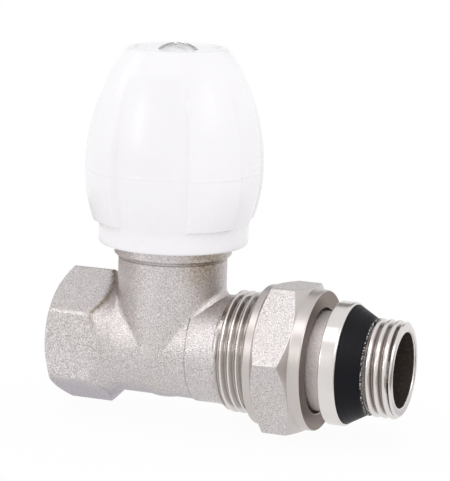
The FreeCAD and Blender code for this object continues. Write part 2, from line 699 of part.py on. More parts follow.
def handwheel_screw():
    """Domed screw with a cross recess that holds the handwheel on the spindle."""
    dome_r = (SCREW_HEAD_R ** 2 + SCREW_HEAD_HEIGHT ** 2) / (2 * SCREW_HEAD_HEIGHT)
    dome_centre = FreeCAD.Vector(SPINDLE_X, 0, DISH_Z + SCREW_HEAD_HEIGHT - dome_r)
    head_top = DISH_Z + SCREW_HEAD_HEIGHT
    head = Part.makeSphere(dome_r, dome_centre).common(rod_z(SCREW_HEAD_R, DISH_Z, head_top))
    shank = rod_z(SCREW_R, DISH_Z - SCREW_LENGTH, DISH_Z)
    floor_z = head_top - CROSS_DEPTH
    long_way = FreeCAD.Vector(SPINDLE_X - CROSS_LENGTH / 2, -CROSS_WIDTH / 2, floor_z)
    short_way = FreeCAD.Vector(SPINDLE_X - CROSS_WIDTH / 2, -CROSS_LENGTH / 2, floor_z)
    cross = Part.makeBox(CROSS_LENGTH, CROSS_WIDTH, CROSS_DEPTH, long_way)
    cross = cross.fuse(Part.makeBox(CROSS_WIDTH, CROSS_LENGTH, CROSS_DEPTH, short_way))
    return head.fuse(shank).cut(cross).removeSplitter()


def union_nut():
    """Hexagonal union nut with turned rings at both ends and a face that draws the tail in."""
    corner_r = NUT_AF / 2 * HEX_CORNER
    chamfer = (corner_r - NUT_RING_R) * math.tan(HEX_CHAMFER)
    envelope = turned_x([
        (NUT_BACK, 0),
        (NUT_BACK, NUT_RING_R - FINE_BREAK),
        (NUT_BACK + FINE_BREAK, NUT_RING_R),
        (NUT_BACK + NUT_BACK_RING, NUT_RING_R),
        (NUT_BACK + NUT_BACK_RING + chamfer, corner_r),
        (NUT_FRONT - NUT_FRONT_RING - chamfer, corner_r),
        (NUT_FRONT - NUT_FRONT_RING, NUT_RING_R),
        (NUT_FRONT - FINE_BREAK, NUT_RING_R),
        (NUT_FRONT, NUT_RING_R - FINE_BREAK),
        (NUT_FRONT, 0),
    ])
    thread_r = UNION_THREAD_R + THREAD_CLEARANCE
    bore = turned_x([
        (NUT_BACK, 0),
        (NUT_BACK, thread_r + EDGE_BREAK),
        (NUT_BACK + EDGE_BREAK, thread_r),
        (NUT_SEAT, thread_r),
        (NUT_SEAT, NUT_HOLE_R),
        (NUT_FRONT - FINE_BREAK, NUT_HOLE_R),
        (NUT_FRONT, NUT_HOLE_R + FINE_BREAK),
        (NUT_FRONT, 0),
    ])
    return envelope.common(hexagon_x(NUT_AF, NUT_TURN, NUT_BACK, NUT_FRONT)).cut(bore)


def tailpiece():
    """Turned tail: spigot with ring groove, flange, neck, collar, cone seat and radiator thread."""
    groove_start = SPIGOT_END + (SPIGOT_LENGTH - TAIL_ORING_CORD) / 2 - SEAL_CLEARANCE
    groove_end = groove_start + TAIL_ORING_CORD + 2 * SEAL_CLEARANCE
    groove_r = OUTLET_BORE_R - TAIL_ORING_CORD - 2 * SEAL_CLEARANCE
    outline_points = [
        (SPIGOT_END, 0),
        (SPIGOT_END, SPIGOT_R - EDGE_BREAK),
        (SPIGOT_END + EDGE_BREAK, SPIGOT_R),
        (groove_start, SPIGOT_R),
        (groove_start, groove_r),
        (groove_end, groove_r),
        (groove_end, SPIGOT_R),
        (FLANGE_BACK, SPIGOT_R),
        (FLANGE_BACK, FLANGE_R),
        (FLANGE_FRONT, FLANGE_R),
        (FLANGE_FRONT, RING_GROOVE_R),
        (NUT_SEAT, RING_GROOVE_R),
        (NUT_SEAT, TAIL_NECK_R),
        (COLLAR_BACK, TAIL_NECK_R),
        (COLLAR_BACK, TAIL_COLLAR_R - EDGE_BREAK),
        (COLLAR_BACK + EDGE_BREAK, TAIL_COLLAR_R),
        (COLLAR_FRONT, TAIL_COLLAR_R),
        (COLLAR_FRONT + TAIL_COLLAR_LIP, TAIL_COLLAR_R - TAIL_COLLAR_LIP),
        (COLLAR_FRONT + TAIL_COLLAR_LIP, CONE_LARGE_R + RUNNING_CLEARANCE),
        (COLLAR_FRONT, CONE_LARGE_R + RUNNING_CLEARANCE),
        (COLLAR_FRONT, CONE_SEAT_R),
        (TAIL_THREAD_START, CONE_SEAT_R),
        (TAIL_THREAD_START, TAIL_ROOT_R),
    ]
    ring_start = (TAIL_END - TAIL_END_ROUND, TAIL_END_R)
    ring_end = (TAIL_END, TAIL_END_R - TAIL_END_ROUND)
    first_crest = TAIL_THREAD_START + TAIL_FIRST_CREST
    outline_points.extend(thread_outline(first_crest, ring_start[0], TAIL_THREAD_R))
    ring_middle = round_middle(ring_start, ring_end, arc_bulge(QUARTER_TURN))
    outline_points.extend([ring_start, ring_middle, ring_end])
    outline_points.append((TAIL_END, 0))
    key_end = COLLAR_BACK + TAIL_COLLAR_LENGTH / 2
    key_bore = rod_x(KEY_BORE_R, SPIGOT_END, key_end)
    key_socket = hexagon_x(KEY_AF, CORNER_UP, key_end - KEY_LENGTH, key_end)
    bore = rod_x(TAIL_BORE_R, key_end, TAIL_END)
    return turned_x(outline_points).cut([key_bore, key_socket, bore])


def tail_oring():
    """Rubber ring on the tail's spigot that seals in the body's outlet."""
    centre = FreeCAD.Vector(SPIGOT_END + SPIGOT_LENGTH / 2, 0, 0)
    inner_r = OUTLET_BORE_R - SEAL_CLEARANCE - TAIL_ORING_CORD
    return oring(TAIL_ORING_CORD, inner_r, centre, X_AXIS)


def nut_thrust_ring():
    """Split ring in the tail's groove that the nut's face pulls on."""
    ring = ring_x(RING_GROOVE_R + SEAL_CLEARANCE, THRUST_RING_R, NUT_SEAT - THRUST_RING_THICKNESS, NUT_SEAT)
    ring.translate(X_AXIS * -RUNNING_CLEARANCE)
    return sector(ring, THRUST_RING_MOUTH, FreeCAD.Vector(FLANGE_FRONT, 0, 0), X_AXIS, 0)


def tail_seal_cone():
    """Rubber cone behind the radiator thread, held against the collar."""
    inner_r = CONE_SEAT_R + RUNNING_CLEARANCE
    end = TAIL_THREAD_START - RUNNING_CLEARANCE
    return turned_x([
        (COLLAR_FRONT, inner_r),
        (COLLAR_FRONT, CONE_LARGE_R),
        (COLLAR_FRONT + TAIL_COLLAR_LIP, CONE_LARGE_R),
        (end - FINE_BREAK, CONE_SMALL_R),
        (end, CONE_SMALL_R - FINE_BREAK),
        (end, inner_r),
    ])


def main():
    """Build every piece and write one file for each."""
    pieces = {
        "valve_body": valve_body(),
        "bonnet": bonnet(),
        "bonnet_oring": bonnet_oring(),
        "gland_nut": gland_nut(),
        "packing_washer": packing_washer(),
        "stem_oring_lower": stem_oring(STUFFING_FLOOR),
        "stem_oring_upper": stem_oring(PACKING_TOP),
        "spindle": spindle(),
        "spindle_retaining_clip": spindle_retaining_clip(),
        "obturator": obturator(),
        "obturator_seal": obturator_seal(),
        "seal_washer": seal_washer(),
        "seal_screw": seal_screw(),
        "handwheel": handwheel(),
        "handwheel_screw": handwheel_screw(),
        "union_nut": union_nut(),
        "tailpiece": tailpiece(),
        "nut_thrust_ring": nut_thrust_ring(),
        "tail_oring": tail_oring(),
        "tail_seal_cone": tail_seal_cone(),
    }
    os.makedirs("parts", exist_ok=True)
    for name, shape in pieces.items():
        shape.exportStep(os.path.join("parts", name + ".step"))
        print(name, len(shape.Solids), shape.isValid(), round(shape.Volume, 2))


main()
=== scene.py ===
import json
import math

import bmesh
import bpy
from bpy.props import FloatProperty, FloatVectorProperty, IntProperty, PointerProperty
from bpy.types import Operator, Panel, PropertyGroup
from mathutils import Matrix, Vector


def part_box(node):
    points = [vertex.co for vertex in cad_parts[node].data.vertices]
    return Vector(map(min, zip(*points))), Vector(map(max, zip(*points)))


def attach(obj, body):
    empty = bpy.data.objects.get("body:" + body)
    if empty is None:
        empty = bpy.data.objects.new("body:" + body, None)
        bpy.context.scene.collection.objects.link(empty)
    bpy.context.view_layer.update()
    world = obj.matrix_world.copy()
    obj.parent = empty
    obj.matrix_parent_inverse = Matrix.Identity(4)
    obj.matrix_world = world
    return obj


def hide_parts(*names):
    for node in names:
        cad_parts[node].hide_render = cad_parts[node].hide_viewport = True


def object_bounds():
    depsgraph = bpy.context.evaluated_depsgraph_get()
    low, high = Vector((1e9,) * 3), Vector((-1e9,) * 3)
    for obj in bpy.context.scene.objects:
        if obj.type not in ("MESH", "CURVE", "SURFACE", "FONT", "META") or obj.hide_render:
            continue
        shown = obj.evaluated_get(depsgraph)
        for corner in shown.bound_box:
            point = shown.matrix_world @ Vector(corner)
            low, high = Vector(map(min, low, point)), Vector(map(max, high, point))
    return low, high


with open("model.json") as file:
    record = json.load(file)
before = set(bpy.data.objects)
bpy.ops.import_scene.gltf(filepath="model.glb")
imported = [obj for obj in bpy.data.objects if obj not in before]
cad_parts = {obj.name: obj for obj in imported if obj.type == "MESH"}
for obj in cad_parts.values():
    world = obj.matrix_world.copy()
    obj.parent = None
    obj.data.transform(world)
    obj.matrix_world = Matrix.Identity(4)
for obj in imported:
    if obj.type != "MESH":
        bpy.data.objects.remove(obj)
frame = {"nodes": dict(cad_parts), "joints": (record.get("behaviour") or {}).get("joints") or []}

bl_info = {
    "name": "Manual radiator valve",
    "version": (1, 0, 0),
    "blender": (4, 5, 0),
    "location": "3D View > Sidebar > Valve",
    "description": "Handwheel, threads, union and finishes of a straight radiator valve, with its stage",
    "category": "Object",
}

MM = 0.001
CAD_BOX = [list(corner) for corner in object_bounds()]
WHEEL_LOW, WHEEL_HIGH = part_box("handwheel")
BODY_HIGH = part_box("valve_body")[1]
NUT_LOW, NUT_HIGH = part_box("union_nut")
TAIL_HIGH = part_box("tailpiece")[1]
CONE_LOW, CONE_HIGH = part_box("tail_seal_cone")
JOINTS = {joint["name"]: joint for joint in frame["joints"]}
SPINDLE = Vector((JOINTS["handwheel_turn"]["pos_m"][0], 0, 0))
FLOW_AXIS = Vector((1, 0, 0))
SPINDLE_AXIS = Vector((0, 0, 1))
HEX_SIDES = 6
HEX_CORNER = 1 / math.cos(math.pi / HEX_SIDES)
FULL_TURN = 2 * math.pi
WELD = 0.001 * MM
SLICE = WELD / 10
SEAM = 0.02 * MM
SEAM_REACH = 0.2 * MM
TOUCH = 0.002 * MM
SHARP_ANGLE = math.radians(22)
WHEEL_SHARP_ANGLE = math.radians(35)
RUBBER_SHARP_ANGLE = math.radians(40)
NUT_CHAMFER = math.radians(30)
UPPER_FLATS = (0.0, math.radians(60))

# Finishes on a piece's faces, by their order in its list
THREAD_FACES = 1
BORE_FACES = 2
NECK_FACES = 3
NUT_FLATS = 1
NUT_FACE = 2

# Share of a face's normal along the flow axis: less on a wall, more on an end face
WALL_SHARE = 0.5
END_SHARE = 0.9

# Faces around turned pieces, and rows of faces down the handwheel
NUT_STEPS = 240
CONE_STEPS = 192
CARD_STEPS = 24
LOBE_STEPS = 20
LOBE_EDGE_STEPS = 9
FLANK_STEPS = 28
DOME_ROWS = 52
FLANK_ROWS = 26
LEDGE_ROWS = 12
SKIRT_ROWS = 4

# Small roundings
CREST_EASE = 0.30
ROOT_LEVEL = 0.2
ROOT_RISE = 0.12 * MM
LIP_ROUND = 0.1 * MM
COLLAR_FRONT_ROUND = 0.3 * MM
COLLAR_BACK_ROUND = 0.4 * MM
NECK_ROUND = 0.2 * MM
END_RING_RUN = 0.45 * MM
END_RING_FALL = 0.75 * MM
CONE_SHOULDER_TOP = 0.25 * MM
CONE_SHOULDER_RUN = 0.45 * MM
CONE_SHOULDER_FALL = 0.15 * MM
CONE_BEAD_START = 0.75 * MM
CONE_BEAD_FOOT = 0.05 * MM
CONE_BEAD_TOP = 0.55 * MM
CONE_NOSE = 0.3 * MM
DISH_RUN = 0.2 * MM
DISH_RISE = 0.12 * MM
NUT_EDGE_ROUND = 0.10 * MM
SCREW_EDGE_ROUND = 0.08 * MM

# Margins that tell the handwheel's faces and corners apart
CAVITY_MARGIN = 0.2 * MM
FOOT_MARGIN = 0.5 * MM
LEDGE_MARGIN = 0.25 * MM
RIDGE_SHARE = 0.9

# Painted shade in lines and grooves, and the rubber's plating bits: widths from the middle to the edge,
# heights of the fade, and how dark the shade is
CREASE_WIDTH = (0.04 * MM, 0.26 * MM)
CREASE_SHADE = 0.45
HEX_END_WIDTH = (0.05 * MM, 0.85 * MM)
HEX_END_FADE = (3.5 * MM, 9.0 * MM)
HEX_END_SHADE = 0.72
GROOVE_SHADE_WIDTH = (0.15 * MM, 0.6 * MM)
SMEAR_FADE = 0.15 * MM

# Share of a thread's depth with painted shade and brown reflection in its roots: below the body's roots, and
# above the tail's
UNION_ROOT_SHADE = 0.6
TAIL_ROOT_SHADE = 0.55

# Range in which most noise lies, and colours that go with a finish
NOISE_RANGE = (0.3, 0.7)
RUBBER_DUST = (0.10, 0.10, 0.11, 1.0)
DULL_BRASS = (0.42, 0.29, 0.14, 1.0)

# Warm brown, darker patches on the neck, two of them at the flare under the wheel's skirt: place from the
# spindle and reach in millimetres, and level
NECK_WARM_PATCHES = (
    ((10.0, -6.0, 20.0), 8.0, 1.30),
    ((10.5, -5.5, 14.0), 6.0, 0.35),
    ((-9.0, -7.5, 19.5), 3.5, 0.60),
)

# Stage: lamps with their places and sizes, and cards with their colours, lines and sweeps in degrees
STAGE_AIM = Vector((36.0 * MM, 0.0, 25.0 * MM))
FLOOR_WHITE = (0.92, 0.92, 0.92, 1.0)
FLOOR_REACH = 4.0
FLOOR_SEGMENTS = 8
FLOOR_HEIGHT = CAD_BOX[0][2]
CARD_HEIGHT = FLOOR_HEIGHT + 0.5 * MM
SIDE_STRIP = ((0.075, CARD_HEIGHT), (0.20, CARD_HEIGHT))
BACK_STRIP = ((0.40, 0.16), (0.40, 0.34))
UNDER_STRIP = ((0.005, CARD_HEIGHT), (0.062, CARD_HEIGHT))
SENSOR_WIDTH = 36.0
LAMPS = (
    ("top", (-0.08, -0.42, 0.80), (0.75, 0.34)),
    ("key", (-0.50, -0.81, 0.31), (0.22, 0.34)),
    ("right", (0.87, -0.24, 0.58), (0.38, 0.38)),
    ("left", (-0.80, -0.12, 0.58), (0.38, 0.38)),
    ("wide", (0.78, -0.40, 0.56), (1.10, 0.40)),
)
CARDS = (
    ("right_card", "side_card", SIDE_STRIP, (-25, 45)),
    ("left_card", "side_card", SIDE_STRIP, (130, 205)),
    ("back_card", "back_card", BACK_STRIP, (75, 145)),
    # Painted shadow: the card under the valve is a glowing grey sheet that stands in for its shadow on the
    # floor, seen in gloss
    ("under_card", "under_card", UNDER_STRIP, (15, 195)),
)


def length(label, text, millimetres):
    """A size that a user may change."""
    return FloatProperty(name=label, description=text, default=millimetres * MM, unit="LENGTH", precision=5)


def turn(label, text, degrees):
    """An angle that a user may change."""
    return FloatProperty(name=label, description=text, default=math.radians(degrees), subtype="ANGLE")


def tint(label, text, colour):
    """A linear colour that a user may change."""
    return FloatVectorProperty(
        name=label, description=text, default=colour, subtype="COLOR", size=3, min=0.0, max=1.0
    )


def share(label, text, value):
    """A share from 0 to 1 that a user may change."""
    return FloatProperty(name=label, description=text, default=value, min=0.0, max=1.0, subtype="FACTOR")


def power(label, text, watts):
    """A lamp's power that a user may change."""
    return FloatProperty(name=label, description=text, default=watts, min=0.0, unit="POWER")


class ValveHandwheelSettings(PropertyGroup):
    """Sizes of the moulded handwheel, heights counted from the skirt's rim."""

    skirt_r: length("Skirt radius", "Outside of the plain skirt", 16.2)
    mouth_r: length("Mouth radius", "Inside of the skirt at its rim", 14.4)
    shoulder_r: length("Cavity shoulder radius", "Cavity where it starts to narrow", 13.9)
    shoulder_height: length("Cavity shoulder height", "Height at which the cavity starts to narrow", 27.6)
    cavity_top_r: length("Cavity top radius", "Cavity at its ceiling", 9.0)
    rim_round: length("Rim round", "Rounding of the skirt's rim", 0.8)
    recess_foot: length("Recess foot", "Height at which the recessed flank leaves the skirt", 4.3)
    lobe_foot: length("Lobe foot", "Height of the ledge under each lobe", 5.25)
    lobe_foot_r: length("Lobe foot radius", "Outside of a lobe at its ledge", 17.6)
    ledge_rise: length("Ledge rise", "Height over which the ledge rounds into the skirt", 0.7)
    equator: length("Equator height", "Height of the widest place and the parting line", 16.35)
    lobe_r: length("Lobe radius", "Outside of a lobe at the equator", 19.55)
    recess_depth: length("Recess depth", "How far the flanks stand back from the lobes", 1.2)
    fade: length("Fade height", "Height at which the lobes run out into the dome", 37.0)
    crown_r: length("Crown radius", "Edge of the flat top", 10.75)
    crown_round: length("Crown round", "Rounding of the flat top's edge", 0.45)
    dish_r: length("Dish radius", "Recess around the screw", 9.6)
    dish_depth: length("Dish depth", "Depth of the recess around the screw", 0.4)
    screw_hole_r: length("Screw hole radius", "Hole that the screw passes through", 2.05)
    lobes: IntProperty(name="Lobes", description="Number of grip lobes", default=4, min=2, max=8)
    lobe_width: turn("Lobe width", "Angle that a lobe takes up", 38.0)
    lobe_turn: turn("Lobe turn", "Angle from the flow axis to the first lobe's middle", -40.2)
    lobe_edge: turn("Lobe edge", "Angle over which a lobe's side rounds into the flank", 3.4)
    parting_width: length("Parting line width", "Width of the mould's parting line", 0.34)
    parting_rise: length("Parting line rise", "Height of the mould's parting line above the flank", 0.05)
    parting_foot: length("Parting line foot", "Height over which the flank falls back beside that line", 5.0)


class ValveBodySettings(PropertyGroup):
    """Sizes of the inlet's thread, and places of the casting's lines of painted shade."""

    inlet_r: length("Inlet radius", "Bore inside the inlet's thread", 9.316)
    inlet_start: length("Inlet thread start", "Station at which the inlet's thread begins", 0.7)
    inlet_end: length("Inlet thread end", "Station at which the inlet's thread stops", 10.2)
    hex_flats: length("Inlet across flats", "Distance between opposite flats of the inlet", 26.0)
    hex_length: length("Inlet hexagon length", "Station at which a cone starts to end the hexagon", 10.4)
    boss_start: length("Boss start", "Station of the step where the outlet's boss begins", 32.2)
    flare_foot: length("Flare foot", "Height of the crease where the neck's flare begins", 19.35)
    # Radius inside which the creases get their lines of painted shade
    crease_limit: length("Crease limit", "Radius within which dirt lies in those lines", 12.1)


class ValveThreadSettings(PropertyGroup):
    """Sizes of the pipe threads, 55 degree form."""

    pitch: length("Pitch", "Distance from crest to crest", 1.814)
    depth: length("Depth", "Height of the crests above the roots", 1.16)
    union_crest_flat: length("Union crest width", "Width of the rounded crest on the body", 0.34)
    tail_crest_flat: length("Tail crest width", "Width of the rounded crest on the tail", 0.72)
    root_flat: length("Root width", "Width of the rounded root", 0.30)
    union_r: length("Union thread radius", "Crest radius of the body's thread", 13.22)
    union_cut: length("Union cut", "Station at which the drawn thread takes over from the casting", 39.0)
    union_start: length("Union thread start", "Station at which the cut thread begins", 39.75)
    union_crest: length("Union crest", "Station of a crest on the side towards the viewer", 40.85)
    union_bore_r: length("Outlet bore radius", "Bore inside the body's outlet", 9.0)
    end_break: length("Thread end break", "Chamfer at the end of the body's thread", 0.4)
    tail_r: length("Tail thread radius", "Crest radius of the tail's thread", 10.478)
    tail_start: length("Tail thread start", "Station at which the tail's cut thread begins", 71.75)
    tail_crest: length("Tail crest", "Station of a tail crest on the side towards the viewer", 72.37)
    tail_bore_r: length("Tail bore radius", "Water way through the tail", 8.05)
    tail_ring_r: length("Tail ring radius", "Plain ring at the tail's end", 9.95)
    tail_ring: length("Tail ring length", "Length of the plain ring at the tail's end", 0.6)
    tail_mouth: length("Tail mouth round", "Rounding of the bore's mouth", 0.35)
    steps: IntProperty(name="Steps", description="Faces around each turn", default=120, min=24, max=360)


class ValveUnionSettings(PropertyGroup):
    """Sizes of the union nut, the tail's collar and the rubber cone."""

    nut_flats: length("Nut across flats", "Distance between opposite flats", 31.0)
    nut_turn: turn("Nut turn", "Angle from the viewer's side to the first corner", 6.0)
    ring_r: length("Ring radius", "Turned rings at both ends of the nut", 15.1)
    back_ring: length("Back ring", "Length of the ring towards the body", 1.8)
    front_ring: length("Front ring", "Length of the ring towards the radiator", 2.6)
    face_wall: length("Face wall", "Thickness of the face that draws the tail in", 2.95)
    hole_r: length("Hole radius", "Hole that the tail passes through", 11.37)
    thread_r: length("Nut thread radius", "Inside of the nut's thread", 13.35)
    edge: length("Edge break", "Small chamfers of the nut", 0.2)
    corner_round: length("Corner round", "How far the hexagon's corners are turned down", 0.12)
    neck_cut: length("Neck cut", "Station inside the nut at which the drawn tail takes over", 57.5)
    neck_r: length("Neck radius", "Tail between the nut and the collar", 10.72)
    collar_back: length("Collar back", "Station of the collar's side towards the nut", 62.55)
    collar_r: length("Collar radius", "Outside of the collar", 13.26)
    collar_lip: length("Collar lip", "Length of the lip around the rubber", 0.35)
    lip_inside_r: length("Lip inside radius", "Inside of the lip around the rubber", 12.70)
    tail_seat_r: length("Tail seat radius", "Tail inside the rubber cone", 9.70)
    cone_gap: length("Cone gap", "From the cone's end to the tail's shoulder", 0.05)
    cone_seat_r: length("Cone seat radius", "Hole through the rubber cone", 9.75)
    cone_large_r: length("Cone large radius", "Rubber cone at the collar", 12.65)
    cone_small_r: length("Cone small radius", "Rubber cone towards the thread", 10.2)
    cone_land: length("Cone land", "Plain band of rubber inside the collar's lip", 0.35)
    cone_lip: length("Cone lip", "Raised lip at the cone's small end", 0.16)
    cone_smear: length("Cone smear", "Band of plating bits at the cone's small end", 0.42)


class ValveFinishSettings(PropertyGroup):
    """Colours of the finishes."""

    nickel: tint("Cast nickel", "Plated, blasted casting", (0.608, 0.570, 0.570))
    nickel_warm: tint("Warm nickel", "Thin plating that lets the brass through", (0.400, 0.325, 0.235))
    bright: tint("Turned nickel", "Plated turned faces", (0.720, 0.688, 0.678))
    # Painted shade: the nut's turned rings are tinted darker than the other turned nickel
    ring: tint("Ring nickel", "Plated turned rings of the nut", (0.560, 0.522, 0.510))
    dull: tint("Dull nickel", "Thin plating on the tail's neck", (0.690, 0.645, 0.635))
    # Painted shade: the nut's face, which looks back at the collar and the tail's neck, is tinted dark
    face_shade: tint("Worn nickel", "Thin plating on the nut's face", (0.200, 0.155, 0.132))
    # Painted shade and brown reflection in a thread's roots; also the random spots on the bore's wall
    groove: tint("Thread root", "Dull plating in the thread's roots", (0.250, 0.205, 0.180))
    # Painted shade: the water way's wall is near black for the shade inside it; also the black painted in the
    # groove at the tail thread's end
    bore: tint("Bore", "Dark wall of the water way", (0.072, 0.056, 0.046))
    plastic: tint("Wheel plastic", "Glossy white moulding", (0.932, 0.917, 0.938))
    rubber: tint("Rubber", "Black rubber of the cone and rings", (0.0045, 0.0048, 0.0075))
    steel: tint("Screw steel", "Zinc plated screw", (0.770, 0.765, 0.775))
    brass: tint("Brass", "Bare turned brass inside", (0.680, 0.500, 0.240))
    washer: tint("Washer", "White packing washer", (0.800, 0.790, 0.760))


class ValveStageSettings(PropertyGroup):
    """Camera, lamps and floor."""

    aim: FloatVectorProperty(
        name="Aim", description="Point that the camera looks at",
        default=(36.30 * MM, 0.0, 23.86 * MM), subtype="TRANSLATION", unit="LENGTH", size=3,
    )
    azimuth: turn("Azimuth", "Camera's turn towards the radiator's side", 20.97)
    elevation: turn("Elevation", "Camera's height as an angle", 11.07)
    roll: turn("Roll", "Camera's tilt", 1.62)
    distance: length("Distance", "From the aim to the camera", 480.0)
    lens: FloatProperty(name="Lens", description="Focal length in millimetres", default=167.39, min=10.0)
    background: share("Floor white", "Share of the floor that is seen as plain white", 0.95)
    ambient: FloatProperty(
        name="Ambient", description="Level of the light from all around", default=1.06, min=0.0,
    )
    top: power("Top lamp", "Power of the wide lamp overhead", 1.2)
    key: power("Key lamp", "Power of the tall lamp in front on the left", 1.3)
    right: power("Right lamp", "Power of the lamp on the right", 1.2)
    wide: power("Wide lamp", "Power of the wide lamp in front on the right", 1.3)
    left: power("Left lamp", "Power of the lamp on the left", 1.0)
    side_card: tint("Side card", "Warm grey cards beside the valve, seen in gloss", (0.38, 0.330, 0.305))
    back_card: tint("Back card", "Grey card behind the valve, seen in gloss", (0.25, 0.250, 0.260))
    # Painted shadow under the valve, seen only in gloss
    under_card: tint("Under card", "Cool grey card under the valve, seen in gloss", (0.72, 0.710, 0.760))


def across_flow(point):
    """The part of a place that is square to the flow axis."""
    return Vector((0, point.y, point.z))


def across_spindle(point):
    """The part of a place that is square to the spindle axis."""
    return Vector((point.x - SPINDLE.x, point.y, 0))


def flow_point(station, radius):
    """Point of a turned outline, drawn on the side of the flow axis towards the viewer."""
    return Vector((station, -radius, 0))


def spindle_point(radius, height):
    """Point of a turned outline beside the spindle axis."""
    return SPINDLE + Vector((radius, 0, height))


def draw_line(bm, points, closed=False):
    """Corners and edges of an outline, as a list for the operators."""
    corners = [bm.verts.new(point) for point in points]
    pairs = list(zip(corners, corners[1:]))
    if closed:
        pairs.append((corners[-1], corners[0]))
    return corners + [bm.edges.new(pair) for pair in pairs]


def whole(bm):
    """Everything in a mesh, for the operators that cut."""
    return bm.verts[:] + bm.edges[:] + bm.faces[:]


def slice_mesh(bm, place, normal, **cleared):
    """Cut a mesh along a plane, clear the side that is asked for, and return the cut's edges."""
    cut = bmesh.ops.bisect_plane(
        bm, geom=whole(bm), dist=SLICE, plane_co=place, plane_no=normal, **cleared,
    )["geom_cut"]
    return [item for item in cut if isinstance(item, bmesh.types.BMEdge)]


def drop_faces(bm, unwanted):
    """Delete the faces whose middles a test picks."""
    faces = [face for face in bm.faces if unwanted(face.calc_center_median())]
    bmesh.ops.delete(bm, geom=faces, context="FACES")


def turned_on_flow(outline, steps):
    """Closed outline of (station, radius) corners, turned about the flow axis."""
    bm = bmesh.new()
    geometry = draw_line(bm, [flow_point(*corner) for corner in outline], closed=True)
    bmesh.ops.spin(
        bm, geom=geometry, cent=(0, 0, 0), axis=FLOW_AXIS, dvec=(0, 0, 0),
        angle=FULL_TURN, steps=steps, use_merge=True,
    )
    bmesh.ops.remove_doubles(bm, verts=bm.verts, dist=WELD)
    bmesh.ops.recalc_face_normals(bm, faces=bm.faces)
    return bm


def cad_copy(node):
    """Copy of a node's mesh with its triangles joined."""
    bm = bmesh.new()
    bm.from_mesh(frame["nodes"][node].data)
    bmesh.ops.remove_doubles(bm, verts=bm.verts, dist=WELD)
    return bm


def soft_corner(start, corner, end, count):
    """Points of a rounding between two places, pulled towards the corner between them."""
    points = []
    for step in range(count + 1):
        way = step / count
        first = (1 - way) ** 2
        second = 2 * way * (1 - way)
        third = way ** 2
        points.append(tuple(first * a + second * b + third * c for a, b, c in zip(start, corner, end)))
    return points


def ease(value):
    """Smooth step from 0 to 1."""
    value = min(1.0, max(0.0, value))
    return value * value * (3 - 2 * value)


def add_piece(name, bm, body, nodes, finishes, angle=SHARP_ANGLE):
    """Object of a finished mesh: smooth where its faces run on, riding on its body in place of its nodes."""
    mesh = bpy.data.meshes.new(name)
    bm.to_mesh(mesh)
    bm.free()
    if not mesh.polygons:
        raise RuntimeError(name + " has no faces")
    mesh.shade_smooth()
    mesh.set_sharp_from_angle(angle=angle)
    for finish in finishes:
        mesh.materials.append(finish)
    piece = bpy.data.objects.new(name, mesh)
    bpy.context.scene.collection.objects.link(piece)
    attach(piece, body)
    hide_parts(*nodes)
    return piece


def even_shading(piece):
    """Let large flat faces keep their own shading beside small curved ones."""
    weighted = piece.modifiers.new("even_shading", "WEIGHTED_NORMAL")
    weighted.mode = "FACE_AREA"
    weighted.weight = 50
    weighted.keep_sharp = True


def break_edges(piece, width, segments=2):
    """Small rounding on the piece's sharp edges."""
    bevel = piece.modifiers.new("edge_break", "BEVEL")
    bevel.width = width
    bevel.segments = segments
    bevel.limit_method = "ANGLE"
    bevel.angle_limit = SHARP_ANGLE
    bevel.profile = 0.5
    bevel.material = -1


def dress_node(node, finish):
    """Give a node that stays as it is its finish."""
    mesh = frame["nodes"][node].data
    mesh.materials.clear()
    mesh.materials.append(finish)


class Nodes:
    """Node tree with short ways to add to it."""

    def __init__(self, tree):
        self.tree = tree

    def feed(self, socket, value):
        """Put a value on a socket, or link another node's output to it."""
        if isinstance(value, bpy.types.NodeSocket):
            self.tree.links.new(value, socket)
        else:
            socket.default_value = value

    def add(self, kind, inputs=None, **settings):
        """A node with its settings, whose inputs are values or other nodes' outputs."""
        node = self.tree.nodes.new(kind)
        for key, value in settings.items():
            setattr(node, key, value)
        for key, value in (inputs or {}).items():
            self.feed(node.inputs[key], value)
        return node

    def math(self, operation, first, second=0.0, clamp=False):
        """Result of a sum on two values."""
        node = self.add("ShaderNodeMath", {0: first, 1: second}, operation=operation, use_clamp=clamp)
        return node.outputs[0]

    def spread(self, value, low, high, start=0.0, stop=1.0):
        """Value from low to high mapped to start to stop, and held at the ends."""
        return self.add("ShaderNodeMapRange", {
            "Value": value, "From Min": low, "From Max": high, "To Min": start, "To Max": stop,
        }, clamp=True).outputs[0]


